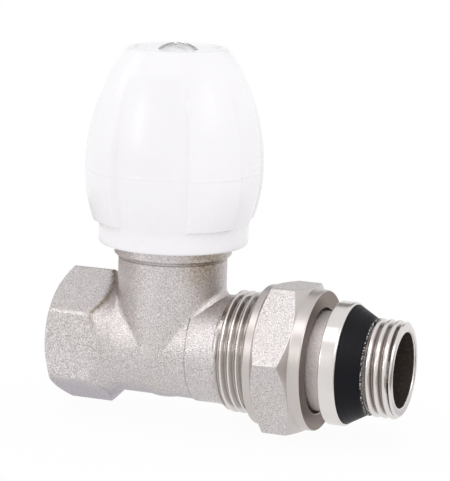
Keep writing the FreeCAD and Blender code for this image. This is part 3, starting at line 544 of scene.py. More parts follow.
class FinishNodes(Nodes):
    """Node tree of one finish, with its shader and the patterns that finishes are made of."""

    def __init__(self, name):
        self.material = bpy.data.materials.new(name)
        self.material.use_nodes = True
        super().__init__(self.material.node_tree)
        self.shader = self.tree.nodes["Principled BSDF"]
        self.place = self.add("ShaderNodeTexCoord").outputs["Object"]

    def set(self, **sockets):
        """Constant values on the shader's own sockets, or outputs that drive them."""
        for key, value in sockets.items():
            self.feed(self.shader.inputs[key.replace("_", " ")], value)

    def lined_metal(self, tone, lines, gloss, strength, depth, metallic=1.0):
        """Make the finish a metal whose roughness and relief follow its tool lines."""
        self.set(
            Base_Color=tone, Metallic=metallic, Roughness=self.sway(lines, *gloss),
            Normal=self.bump(lines, strength, depth),
        )
        return self.material

    def noise(self, scale, detail=2.0, roughness=0.5):
        """Cloudy noise over the piece, by features per metre."""
        return self.add("ShaderNodeTexNoise", {
            "Vector": self.place, "Scale": scale, "Detail": detail, "Roughness": roughness,
        }).outputs["Fac"]

    def sway(self, noise, start, stop):
        """Noise mapped to a range of values."""
        return self.spread(noise, *NOISE_RANGE, start, stop)

    def mix(self, factor, first, second):
        """Colour between two others."""
        return self.add("ShaderNodeMix", {0: factor, 6: first, 7: second}, data_type="RGBA").outputs[2]

    def scaled(self, colour, factor):
        """Colour made darker or lighter by a factor."""
        return self.add("ShaderNodeVectorMath", {0: colour, 3: factor}, operation="SCALE").outputs[0]

    def gap(self, value, station):
        """How far a value is from a station."""
        return self.math("ABSOLUTE", self.math("SUBTRACT", value, station))

    def bump(self, height, strength, distance, under=None):
        """Relief from a height, on top of another relief."""
        inputs = {"Height": height, "Strength": strength, "Distance": distance}
        if under is not None:
            inputs["Normal"] = under
        return self.add("ShaderNodeBump", inputs).outputs["Normal"]

    def turned(self, axis):
        """Distance from the flow or spindle axis, and place along it."""
        offset = (0, 0, 0) if axis == "flow" else tuple(-SPINDLE)
        moved = self.add("ShaderNodeMapping", {"Vector": self.place, "Location": offset})
        parts = self.add("ShaderNodeSeparateXYZ", {"Vector": moved.outputs[0]}).outputs
        along, first, second = (0, 1, 2) if axis == "flow" else (2, 0, 1)
        squares = [self.math("MULTIPLY", parts[way], parts[way]) for way in (first, second)]
        return self.math("SQRT", self.math("ADD", *squares)), parts[along]

    def crease(self, axis, station, limit):
        """1 all over, and less in a fine line of painted shade around an axis, inside a radius."""
        radius, along = self.turned(axis)
        line = self.spread(self.gap(along, station), *CREASE_WIDTH, CREASE_SHADE, 1.0)
        return self.math("MAXIMUM", line, self.math("GREATER_THAN", radius, limit))

    def hexagon_end(self, flats, reach):
        """1 in a soft line where a cone about the flow axis ends the hexagon's upper flats, 0 elsewhere."""
        radius, along = self.turned("flow")
        cone_gap = self.gap(self.math("ADD", radius, along), reach)
        flat_gaps = []
        for angle in UPPER_FLATS:
            outward = (0, -math.cos(angle), math.sin(angle))
            across = self.add("ShaderNodeVectorMath", {0: self.place, 1: outward}, operation="DOT_PRODUCT")
            flat_gaps.append(self.math("SUBTRACT", flats / 2, across.outputs["Value"]))
        gap = self.math("MAXIMUM", cone_gap, self.math("MINIMUM", *flat_gaps))
        height = self.add("ShaderNodeSeparateXYZ", {"Vector": self.place}).outputs[2]
        line = self.spread(gap, *HEX_END_WIDTH, 1.0, 0.0)
        return self.math("MULTIPLY", line, self.spread(height, *HEX_END_FADE))

    def lines(self, axis, scale, detail=3.0):
        """Fine tool lines around an axis, on faces along it and on faces square to it."""
        radius, along = self.turned(axis)
        way = self.math("ADD", along, radius)
        return self.add(
            "ShaderNodeTexNoise", {"W": way, "Scale": scale, "Detail": detail, "Roughness": 0.6},
            noise_dimensions="1D",
        ).outputs["Fac"]

    def near(self, point, reach):
        """1 at a point, falling to 0 at its reach."""
        node = self.add("ShaderNodeVectorMath", {0: self.place, 1: point}, operation="DISTANCE")
        return self.spread(node.outputs["Value"], 0.0, reach, 1.0, 0.0)


def opaque(colour):
    """Colour with full cover."""
    return (*colour, 1.0)


def cast_nickel(colour, finish, name, grain=5000.0, contrast=0.37, creases=(), hexagon=None, warm_patches=()):
    """Satin nickel over a blasted casting: fine grain, cloudy tone, painted shade in its lines and warm brown
    patches.
    """
    nodes = FinishNodes(name)
    fine = nodes.noise(grain, 2.0, 0.6)
    coarse = nodes.noise(grain / 3.0)
    warm = nodes.spread(nodes.noise(95.0, 3.0), 0.40, 0.75, 0.0, 0.10)
    # Warm brown, darker patches on the neck
    for point, reach, level in warm_patches:
        speckle = nodes.spread(coarse, 0.35, 0.60, 0.25, level)
        warm = nodes.math("MAXIMUM", warm, nodes.math("MULTIPLY", nodes.near(point, reach), speckle))
    shade = nodes.spread(nodes.noise(grain * 0.9, 1.0), 0.32, 0.68, 1.0 - contrast, 1.0 + 0.7 * contrast)
    # Fine lines of painted shade in the creases
    for crease in creases:
        shade = nodes.math("MULTIPLY", shade, nodes.crease(*crease))
    # Painted shade, tinted brown, in a soft line where the cone ends the hexagon's upper flats
    if hexagon is not None:
        speckle = nodes.spread(coarse, 0.30, 0.55, 0.45, 0.95)
        painted_shade = nodes.math("MULTIPLY", nodes.hexagon_end(*hexagon), speckle)
        warm = nodes.math("MAXIMUM", warm, painted_shade)
        shade = nodes.math("MULTIPLY", shade, nodes.spread(painted_shade, 0.0, 1.0, 1.0, HEX_END_SHADE))
    tone = nodes.mix(warm, opaque(colour), opaque(finish.nickel_warm))
    relief = nodes.bump(coarse, 0.25, 0.08 * MM)
    nodes.set(
        Base_Color=nodes.scaled(tone, shade), Metallic=1.0, Roughness=nodes.sway(fine, 0.28, 0.40),
        Normal=nodes.bump(fine, 0.90, 0.10 * MM, relief),
    )
    return nodes.material


def turned_nickel(colour, finish, name, satin=0.0, roots=None, groove_shade=None):
    """Nickel with fine turning lines, with painted shade and brown reflection in a thread's roots and black
    painted shade in the groove at its end.
    """
    nodes = FinishNodes(name)
    lines = nodes.lines("flow", 6000.0)
    thin = nodes.spread(nodes.noise(140.0, 3.0), 0.4, 0.7, 0.0, 0.16)
    tone = nodes.mix(thin, opaque(colour), opaque(finish.nickel_warm))
    if roots is not None:
        # Painted shade and brown reflection, growing towards a thread's roots
        radius, along = nodes.turned("flow")
        dull = nodes.spread(radius, *roots, 0.85, 0.0)
        tone = nodes.mix(dull, tone, opaque(finish.groove))
        # Black painted shade in the groove between the last crest and the end ring
        if groove_shade is not None:
            groove = nodes.spread(nodes.gap(along, groove_shade), *GROOVE_SHADE_WIDTH, 1.0, 0.0)
            tone = nodes.mix(nodes.math("MULTIPLY", groove, dull), tone, opaque(finish.bore))
    return nodes.lined_metal(tone, lines, (0.16 + satin, 0.26 + satin), 0.15, 0.012 * MM)


def bore_wall(finish):
    """Dull wall of the water way, painted dark for the shade inside it, with random brown spots."""
    nodes = FinishNodes("bore_wall")
    spots = nodes.spread(nodes.noise(1500.0, 3.0), 0.50, 0.75, 0.0, 0.30)
    tone = nodes.mix(spots, opaque(finish.bore), opaque(finish.groove))
    return nodes.lined_metal(tone, nodes.lines("flow", 2600.0), (0.42, 0.60), 0.25, 0.04 * MM, metallic=0.6)


def moulded_plastic(finish):
    """Glossy white moulding with a faint ripple and cloud."""
    nodes = FinishNodes("wheel_plastic")
    ripple = nodes.noise(260.0)
    cloud = nodes.spread(nodes.noise(45.0), 0.35, 0.65, 0.965, 1.0)
    relief = nodes.bump(ripple, 0.05, 0.10 * MM)
    nodes.set(
        Base_Color=nodes.scaled(finish.plastic, cloud), Roughness=nodes.sway(ripple, 0.22, 0.30),
        Normal=nodes.bump(nodes.noise(1800.0), 0.04, 0.02 * MM, relief), Specular_IOR_Level=0.19,
    )
    return nodes.material


def cone_rubber(finish, name, axis="flow", smear=None):
    """Black rubber with faint moulding lines, a dusty sheen and bits of plating from a station on."""
    nodes = FinishNodes(name)
    lines = nodes.lines(axis, 1500.0, 2.0)
    dust = nodes.spread(nodes.noise(900.0, 4.0, 0.6), 0.58, 0.80, 0.0, 0.05)
    tone = nodes.mix(dust, opaque(finish.rubber), RUBBER_DUST)
    relief = nodes.bump(nodes.noise(1400.0, 3.0), 0.10, 0.04 * MM)
    if smear is not None:
        along = nodes.turned(axis)[1]
        bits = nodes.spread(nodes.noise(2600.0), 0.50, 0.62, 0.0, 0.9)
        bits = nodes.math("MULTIPLY", bits, nodes.spread(along, smear, smear + SMEAR_FADE))
        tone = nodes.mix(bits, tone, opaque(finish.bright))
        nodes.set(Metallic=bits)
    nodes.set(
        Base_Color=tone, Roughness=nodes.sway(lines, 0.40, 0.55),
        Normal=nodes.bump(lines, 0.12, 0.04 * MM, relief), Specular_IOR_Level=0.14,
    )
    return nodes.material


def plated_steel(finish):
    """Zinc plated steel with fine scratches."""
    nodes = FinishNodes("plated_steel")
    cloud = nodes.spread(nodes.noise(600.0, 3.0), 0.35, 0.7, 0.82, 1.08)
    tone = nodes.scaled(finish.steel, cloud)
    return nodes.lined_metal(tone, nodes.lines("spindle", 3800.0), (0.32, 0.42), 0.20, 0.03 * MM)


def turned_brass(finish):
    """Bare brass with turning lines around the spindle."""
    nodes = FinishNodes("turned_brass")
    dull = nodes.spread(nodes.noise(220.0, 3.0), 0.4, 0.7, 0.0, 0.4)
    tone = nodes.mix(dull, opaque(finish.brass), DULL_BRASS)
    return nodes.lined_metal(tone, nodes.lines("spindle", 3600.0), (0.24, 0.38), 0.22, 0.03 * MM)


def packing_plastic(finish):
    """Matt white packing washer."""
    nodes = FinishNodes("packing_plastic")
    cloud = nodes.spread(nodes.noise(500.0), 0.35, 0.65, 0.94, 1.0)
    nodes.set(
        Base_Color=nodes.scaled(finish.washer, cloud), Roughness=nodes.spread(cloud, 0.94, 1.0, 0.42, 0.5),
    )
    return nodes.material


def thread_outline(settings, crest_r, crest_flat):
    """One pitch of a thread, from the middle of a root to the middle of the next, as (station, radius)."""
    flank = (settings.pitch - crest_flat - settings.root_flat) / 2
    root_r = crest_r - settings.depth
    root = settings.root_flat / 2
    crest_start = root + flank
    slope = settings.depth / flank
    ease_in = CREST_EASE * crest_flat
    foot_end = (root + ROOT_RISE, root_r + ROOT_RISE * slope)
    foot = soft_corner((root * ROOT_LEVEL, root_r), (root, root_r), foot_end, count=3)
    rise = soft_corner(
        (crest_start - ease_in, crest_r - ease_in * slope), (crest_start, crest_r),
        (crest_start + crest_flat / 2, crest_r), count=5,
    )
    half = [(0.0, root_r)] + foot + rise
    other = [(settings.pitch - station, radius) for station, radius in reversed(half[:-1])]
    return half + other


def cut_thread(settings, crest, start, end, crest_r, crest_flat):
    """Helical thread surface between two stations, with a crest at the given station towards the viewer."""
    bm = bmesh.new()
    first = crest - settings.pitch / 2
    while first > start - settings.pitch:
        first -= settings.pitch
    turns = math.ceil((end - first) / settings.pitch) + 1
    form = thread_outline(settings, crest_r, crest_flat)
    outline = [flow_point(first + station, radius) for station, radius in form]
    bmesh.ops.spin(
        bm, geom=draw_line(bm, outline), cent=(0, 0, 0), axis=FLOW_AXIS,
        dvec=FLOW_AXIS * settings.pitch / settings.steps, angle=FULL_TURN * turns,
        steps=settings.steps * turns, use_merge=False,
    )
    bmesh.ops.remove_doubles(bm, verts=bm.verts, dist=WELD)
    slice_mesh(bm, FLOW_AXIS * start, FLOW_AXIS, clear_inner=True)
    slice_mesh(bm, FLOW_AXIS * end, FLOW_AXIS, clear_outer=True)
    return bm


def carry_edge(bm, station, rings):
    """Carry the open edge at a station on through a row of (station, radius) rings."""
    edges = [
        edge for edge in bm.edges
        if edge.is_boundary and all(abs(corner.co.x - station) < TOUCH for corner in edge.verts)
    ]
    for place, radius in rings:
        made = bmesh.ops.extrude_edge_only(bm, edges=edges)["geom"]
        corners = {item for item in made if isinstance(item, bmesh.types.BMVert)}
        for corner in corners:
            corner.co = FLOW_AXIS * place + across_flow(corner.co).normalized() * radius
        edges = [
            item for item in made
            if isinstance(item, bmesh.types.BMEdge) and all(corner in corners for corner in item.verts)
        ]
    bmesh.ops.remove_doubles(bm, verts=bm.verts, dist=WELD)


def join(bm, other):
    """Add another mesh to this one."""
    carrier = bpy.data.meshes.new("carrier")
    other.to_mesh(carrier)
    other.free()
    bm.from_mesh(carrier)
    bpy.data.meshes.remove(carrier)


def add_threaded_end(bm, thread, stop, bore_r):
    """Add a drawn end to a copied piece, and tell plain faces, thread and bore apart."""
    for face in thread.faces:
        if face.calc_center_median().x < stop:
            face.material_index = THREAD_FACES
    join(bm, thread)
    for face in bm.faces:
        inside = across_flow(face.calc_center_median()).length < bore_r + TOUCH
        if inside and abs(face.normal.x) < WALL_SHARE:
            face.material_index = BORE_FACES


def flow_ring(station, radius):
    """Test for places beside a ring about the flow axis."""
    def beside(place):
        return abs(place.x - station) < 2 * SEAM and abs(across_flow(place).length - radius) < SEAM_REACH
    return beside


def spindle_ring(radius, height):
    """Test for places beside a ring about the spindle axis."""
    def beside(place):
        return abs(place.z - height) < 2 * SEAM and abs(across_spindle(place).length - radius) < SEAM_REACH
    return beside


def close_seam(bm, beside):
    """Join two open edges that run beside each other, found by a test of their corners."""
    edges = [
        edge for edge in bm.edges
        if edge.is_boundary and all(beside(corner.co) for corner in edge.verts)
    ]
    bmesh.ops.bridge_loops(bm, edges=edges)


def close_shell(bm, name, seams):
    """Join the seams that the tests find, and turn the closed shell's faces outwards."""
    for beside in seams:
        close_seam(bm, beside)
    open_edges = sum(1 for edge in bm.edges if not edge.is_manifold)
    if open_edges:
        raise RuntimeError(name + " has " + str(open_edges) + " open edges")
    bmesh.ops.recalc_face_normals(bm, faces=bm.faces)


class VALVE_OT_body_casting(Operator):
    """Cast body with its helical inlet and union threads"""

    bl_idname = "valve.body_casting"
    bl_label = "Body casting"

    def execute(self, context):
        threads = context.scene.valve_threads
        sizes = context.scene.valve_body
        finish = context.scene.valve_finish
        start = threads.union_start
        end = BODY_HIGH.x - threads.end_break
        union_r = threads.union_r
        root_r = union_r - threads.depth
        cut = threads.union_cut
        bore_r = threads.union_bore_r
        thread = cut_thread(threads, threads.union_crest, start, end, union_r, threads.union_crest_flat)
        carry_edge(thread, start, [(start, root_r), (cut + SEAM, root_r)])
        carry_edge(thread, end, [(BODY_HIGH.x, root_r), (BODY_HIGH.x, bore_r), (cut + SEAM, bore_r)])
        bm = cad_copy("valve_body")
        slice_mesh(bm, FLOW_AXIS * cut, FLOW_AXIS, clear_outer=True)
        self.open_inlet(bm, sizes)
        add_threaded_end(bm, thread, end, bore_r)
        join(bm, self.inlet_thread(threads, sizes))
        close_shell(bm, "body_casting", [
            flow_ring(cut, root_r), flow_ring(cut, bore_r),
            flow_ring(sizes.inlet_start, sizes.inlet_r), flow_ring(sizes.inlet_end, sizes.inlet_r),
        ])
        # Band of painted shade and brown reflection in the union thread's roots
        root_band = (root_r - UNION_ROOT_SHADE * threads.depth, union_r)
        finishes = [
            self.casting_finish(sizes, finish),
            turned_nickel(finish.bright, finish, "union_thread_nickel", roots=root_band),
            bore_wall(finish),
        ]
        piece = add_piece("body_casting", bm, "valve", ["valve_body"], finishes)
        even_shading(piece)
        return {"FINISHED"}

    def casting_finish(self, sizes, finish):
        """Cast nickel with painted shade in the body's creases and at the hexagon's end, and warm brown
        patches on its neck.
        """
        # Warm brown, darker patches on the neck, two of them at the flare under the wheel's skirt
        warm_patches = [
            ((SPINDLE.x + x * MM, y * MM, z * MM), reach * MM, level)
            for (x, y, z), reach, level in NECK_WARM_PATCHES
        ]
        # Lines of painted shade at the boss's step and at the foot of the neck's flare
        creases = (
            ("flow", sizes.boss_start, sizes.crease_limit),
            ("spindle", sizes.flare_foot, sizes.crease_limit),
        )
        # Place of the line of painted shade where the cone ends the inlet's hexagon
        hexagon = (sizes.hex_flats, sizes.hex_length + sizes.hex_flats / 2 * HEX_CORNER)
        return cast_nickel(
            finish.nickel, finish, "body_nickel", creases=creases, hexagon=hexagon, warm_patches=warm_patches,
        )

    def open_inlet(self, bm, sizes):
        """Take the plain wall out of the copied inlet where the drawn thread goes."""
        start, end, wall_r = sizes.inlet_start, sizes.inlet_end, sizes.inlet_r + TOUCH
        for station in (start, end):
            slice_mesh(bm, FLOW_AXIS * station, FLOW_AXIS)
        drop_faces(bm, lambda middle: start < middle.x < end and across_flow(middle).length < wall_r)

    def inlet_thread(self, threads, sizes):
        """Helical thread in the inlet's wall."""
        low = sizes.inlet_r
        start = sizes.inlet_start + threads.root_flat
        end = sizes.inlet_end - threads.root_flat
        bm = cut_thread(threads, start, start, end, low + threads.depth, threads.union_crest_flat)
        carry_edge(bm, start, [(start, low), (sizes.inlet_start + SEAM, low)])
        carry_edge(bm, end, [(end, low), (sizes.inlet_end - SEAM, low)])
        for face in bm.faces:
            face.material_index = THREAD_FACES
        return bm


class VALVE_OT_union_nut(Operator):
    """Hexagonal union nut with turned rings at both ends"""

    bl_idname = "valve.union_nut"
    bl_label = "Union nut"

    def execute(self, context):
        sizes = context.scene.valve_union
        finish = context.scene.valve_finish
        back = NUT_LOW.x
        front = NUT_HIGH.x
        edge = sizes.edge
        ring_r = sizes.ring_r
        hole_r = sizes.hole_r
        thread_r = sizes.thread_r
        corner_r = sizes.nut_flats / 2 * HEX_CORNER - sizes.corner_round
        slope = (corner_r - ring_r) * math.tan(NUT_CHAMFER)
        bm = turned_on_flow([
            (back, thread_r + 2 * edge),
            (back, ring_r - edge),
            (back + edge, ring_r),
            (back + sizes.back_ring, ring_r),
            (back + sizes.back_ring + slope, corner_r),
            (front - sizes.front_ring - slope, corner_r),
            (front - sizes.front_ring, ring_r),
            (front - edge, ring_r),
            (front, ring_r - edge),
            (front, hole_r + edge),
            (front - edge, hole_r),
            (front - sizes.face_wall, hole_r),
            (front - sizes.face_wall, thread_r),
            (back + 2 * edge, thread_r),
        ], NUT_STEPS)
        for side in range(HEX_SIDES):
            angle = sizes.nut_turn + (side + 0.5) * FULL_TURN / HEX_SIDES
            outward = Vector((0, -math.cos(angle), math.sin(angle)))
            rim = slice_mesh(bm, outward * sizes.nut_flats / 2, outward, clear_outer=True)
            for flat in bmesh.ops.edgeloop_fill(bm, edges=rim)["faces"]:
                flat.material_index = NUT_FLATS
        bmesh.ops.recalc_face_normals(bm, faces=bm.faces)
        for face in bm.faces:
            if face.normal.x > END_SHARE:
                face.material_index = NUT_FACE
        finishes = [
            # Rings tinted darker as painted shade
            turned_nickel(finish.ring, finish, "nut_ring_nickel", satin=0.13),
            cast_nickel(finish.nickel, finish, "nut_flat_nickel"),
            # Face tinted dark as painted shade
            turned_nickel(finish.face_shade, finish, "nut_face_nickel", satin=0.16),
        ]
        piece = add_piece("union_nut_body", bm, "nut", ["union_nut"], finishes)
        break_edges(piece, NUT_EDGE_ROUND)
        even_shading(piece)
        return {"FINISHED"}


class VALVE_OT_tailpiece(Operator):
    """Turned tail with its collar and its helical radiator thread"""

    bl_idname = "valve.tailpiece"
    bl_label = "Tailpiece"

    def execute(self, context):
        threads = context.scene.valve_threads
        sizes = context.scene.valve_union
        finish = context.scene.valve_finish
        start = threads.tail_start
        end = TAIL_HIGH.x
        stop = end - threads.tail_ring
        tail_r = threads.tail_r
        root_r = tail_r - threads.depth
        ring_r = threads.tail_ring_r
        bore_r = threads.tail_bore_r
        mouth = threads.tail_mouth
        cut = sizes.neck_cut
        thread = cut_thread(threads, threads.tail_crest, start, stop, tail_r, threads.tail_crest_flat)
        carry_edge(thread, start, [(start, root_r)] + self.collar(sizes, root_r))
        ring_end = (end, ring_r - END_RING_FALL)
        rounded = soft_corner((end - END_RING_RUN, ring_r), (end, ring_r), ring_end, count=6)
        lip = soft_corner((end, bore_r + mouth), (end, bore_r), (end - mouth + SEAM, bore_r), count=5)
        carry_edge(thread, stop, rounded + lip)
        bm = cad_copy("tailpiece")
        self.keep_spigot_and_bore(bm, cut, end - mouth, bore_r)
        add_threaded_end(bm, thread, stop, bore_r)
        close_shell(bm, "tailpiece_turned", [flow_ring(cut, sizes.neck_r), flow_ring(end - mouth, bore_r)])
        for face in bm.faces:
            middle = face.calc_center_median()
            if middle.x < sizes.collar_back - TOUCH and face.material_index != BORE_FACES:
                face.material_index = NECK_FACES
        # Band of painted shade and brown reflection in the tail thread's roots
        root_band = (root_r, root_r + TAIL_ROOT_SHADE * threads.depth)
        finishes = [
            turned_nickel(finish.bright, finish, "tail_nickel"),
            # Painted shade in the roots, and black painted shade in the groove at the thread's end
            turned_nickel(finish.bright, finish, "tail_thread_nickel", roots=root_band, groove_shade=stop),
            bpy.data.materials["bore_wall"],
            cast_nickel(finish.dull, finish, "tail_neck_nickel", grain=6500.0, contrast=0.26),
        ]
        piece = add_piece("tailpiece_turned", bm, "tail", ["tailpiece"], finishes)
        even_shading(piece)
        return {"FINISHED"}

    def collar(self, sizes, root_r):
        """Rings from the thread's start back over the cone's seat and the collar to the neck."""
        seat = CONE_LOW.x
        shoulder = CONE_HIGH.x + sizes.cone_gap
        seat_r = sizes.tail_seat_r
        lip = seat + sizes.collar_lip
        lip_r = sizes.lip_inside_r
        back = sizes.collar_back
        high = sizes.collar_r
        low = sizes.neck_r
        ledge_r = high - sizes.collar_lip + LIP_ROUND
        rings = [(shoulder, root_r), (shoulder, seat_r), (seat, seat_r), (seat, lip_r)]
        roundings = (
            ((lip - LIP_ROUND, lip_r), (lip, lip_r), (lip, lip_r + LIP_ROUND), 3),
            ((lip - LIP_ROUND, ledge_r), (seat, high), (seat - COLLAR_FRONT_ROUND, high), 4),
            ((back + COLLAR_BACK_ROUND, high), (back, high), (back, high - COLLAR_BACK_ROUND), 4),
            ((back, low + NECK_ROUND), (back, low), (back - NECK_ROUND, low), 4),
        )
        for rounding in roundings:
            rings += soft_corner(*rounding)
        return rings + [(sizes.neck_cut + SEAM, low)]

    def keep_spigot_and_bore(self, bm, cut, mouth, bore_r):
        """Leave the copied tail's hidden end, its key socket and its bore."""
        for station in (cut, mouth):
            slice_mesh(bm, FLOW_AXIS * station, FLOW_AXIS)

        def is_outer(middle):
            return middle.x > mouth or middle.x > cut and across_flow(middle).length > bore_r + TOUCH

        drop_faces(bm, is_outer)


class VALVE_OT_seal_cone(Operator):
    """Rubber cone behind the radiator thread"""

    bl_idname = "valve.seal_cone"
    bl_label = "Seal cone"

    def execute(self, context):
        sizes = context.scene.valve_union
        finish = context.scene.valve_finish
        back = CONE_LOW.x
        front = CONE_HIGH.x
        land = back + sizes.cone_land
        seat_r = sizes.cone_seat_r
        large_r = sizes.cone_large_r
        small_r = sizes.cone_small_r
        lip_r = small_r + sizes.cone_lip
        nose = front - CONE_NOSE
        shoulder_end = (land + CONE_SHOULDER_RUN, large_r - CONE_SHOULDER_FALL)
        bead_start = (front - CONE_BEAD_START, small_r + CONE_BEAD_FOOT)
        outline = [(back, seat_r), (back, large_r)]
        outline += soft_corner((land, large_r), (land + CONE_SHOULDER_TOP, large_r), shoulder_end, count=4)
        outline += soft_corner(bead_start, (front - CONE_BEAD_TOP, lip_r), (nose, lip_r), count=4)
        outline += soft_corner((nose, lip_r), (front, lip_r), (front, small_r - sizes.cone_lip), count=4)[1:]
        outline.append((front, seat_r))
        bm = turned_on_flow(outline, CONE_STEPS)
        finishes = [cone_rubber(finish, "cone_rubber", smear=front - sizes.cone_smear)]
        add_piece(
            "seal_cone_rubber", bm, "tail", ["tail_seal_cone"], finishes, RUBBER_SHARP_ANGLE,
        )
        return {"FINISHED"}


def bulge(equator_r, end_r, rise, height):
    """Radius at a height from the equator, on an arc that is upright there and ends at end_r."""
    arc = ((equator_r - end_r) ** 2 + rise ** 2) / (2 * (equator_r - end_r))
    return math.sqrt(arc ** 2 - height ** 2) - arc + equator_r


def wheel_radii(sizes, crown, height):
    """Radii of the recessed flank and of a lobe at a height above the rim."""
    above = height - sizes.equator
    recess_r = sizes.lobe_r - sizes.recess_depth
    dome_rise = crown - sizes.equator
    dome = bulge(sizes.lobe_r, sizes.crown_r, dome_rise, max(above, 0.0))
    if height <= sizes.recess_foot:
        return sizes.skirt_r, sizes.skirt_r
    if above < 0:
        flank = bulge(recess_r, sizes.skirt_r, sizes.equator - sizes.recess_foot, above)
        lobe = bulge(sizes.lobe_r, sizes.lobe_foot_r, sizes.equator - sizes.lobe_foot, above)
        rise = ease((height - sizes.lobe_foot + sizes.ledge_rise) / sizes.ledge_rise)
        return flank, flank + (lobe - flank) * rise
    if height < sizes.fade:
        fade_r = bulge(sizes.lobe_r, sizes.crown_r, dome_rise, sizes.fade - sizes.equator)
        return bulge(recess_r, fade_r, sizes.fade - sizes.equator, above), dome
    return dome, dome


def lobe_share(sizes, angle):
    """1 on a lobe, 0 on a flank, and in between on a lobe's rounded side."""
    spacing = FULL_TURN / sizes.lobes
    away = abs((angle - sizes.lobe_turn + spacing / 2) % spacing - spacing / 2)
    return ease((sizes.lobe_width / 2 + sizes.lobe_edge / 2 - away) / sizes.lobe_edge)


def even_rows(start, stop, count):
    """Heights in even steps from one to another."""
    return [start + (stop - start) * step / count for step in range(count + 1)]


def wheel_heights(sizes, crown):
    """Heights of the rows of faces on the wheel's flank, from the crown's rounding down to the rim's."""
    half = sizes.parting_width / 2
    ledge_top = sizes.lobe_foot + LEDGE_MARGIN
    ledge_bottom = sizes.lobe_foot - sizes.ledge_rise
    rows = even_rows(crown - sizes.crown_round, sizes.equator + half, DOME_ROWS)
    rows += [sizes.equator + half / 3, sizes.equator - half / 3]
    rows += even_rows(sizes.equator - half, ledge_top, FLANK_ROWS)
    rows += even_rows(ledge_top, ledge_bottom, LEDGE_ROWS)[1:]
    return rows + even_rows(ledge_bottom, sizes.rim_round, SKIRT_ROWS)[1:]


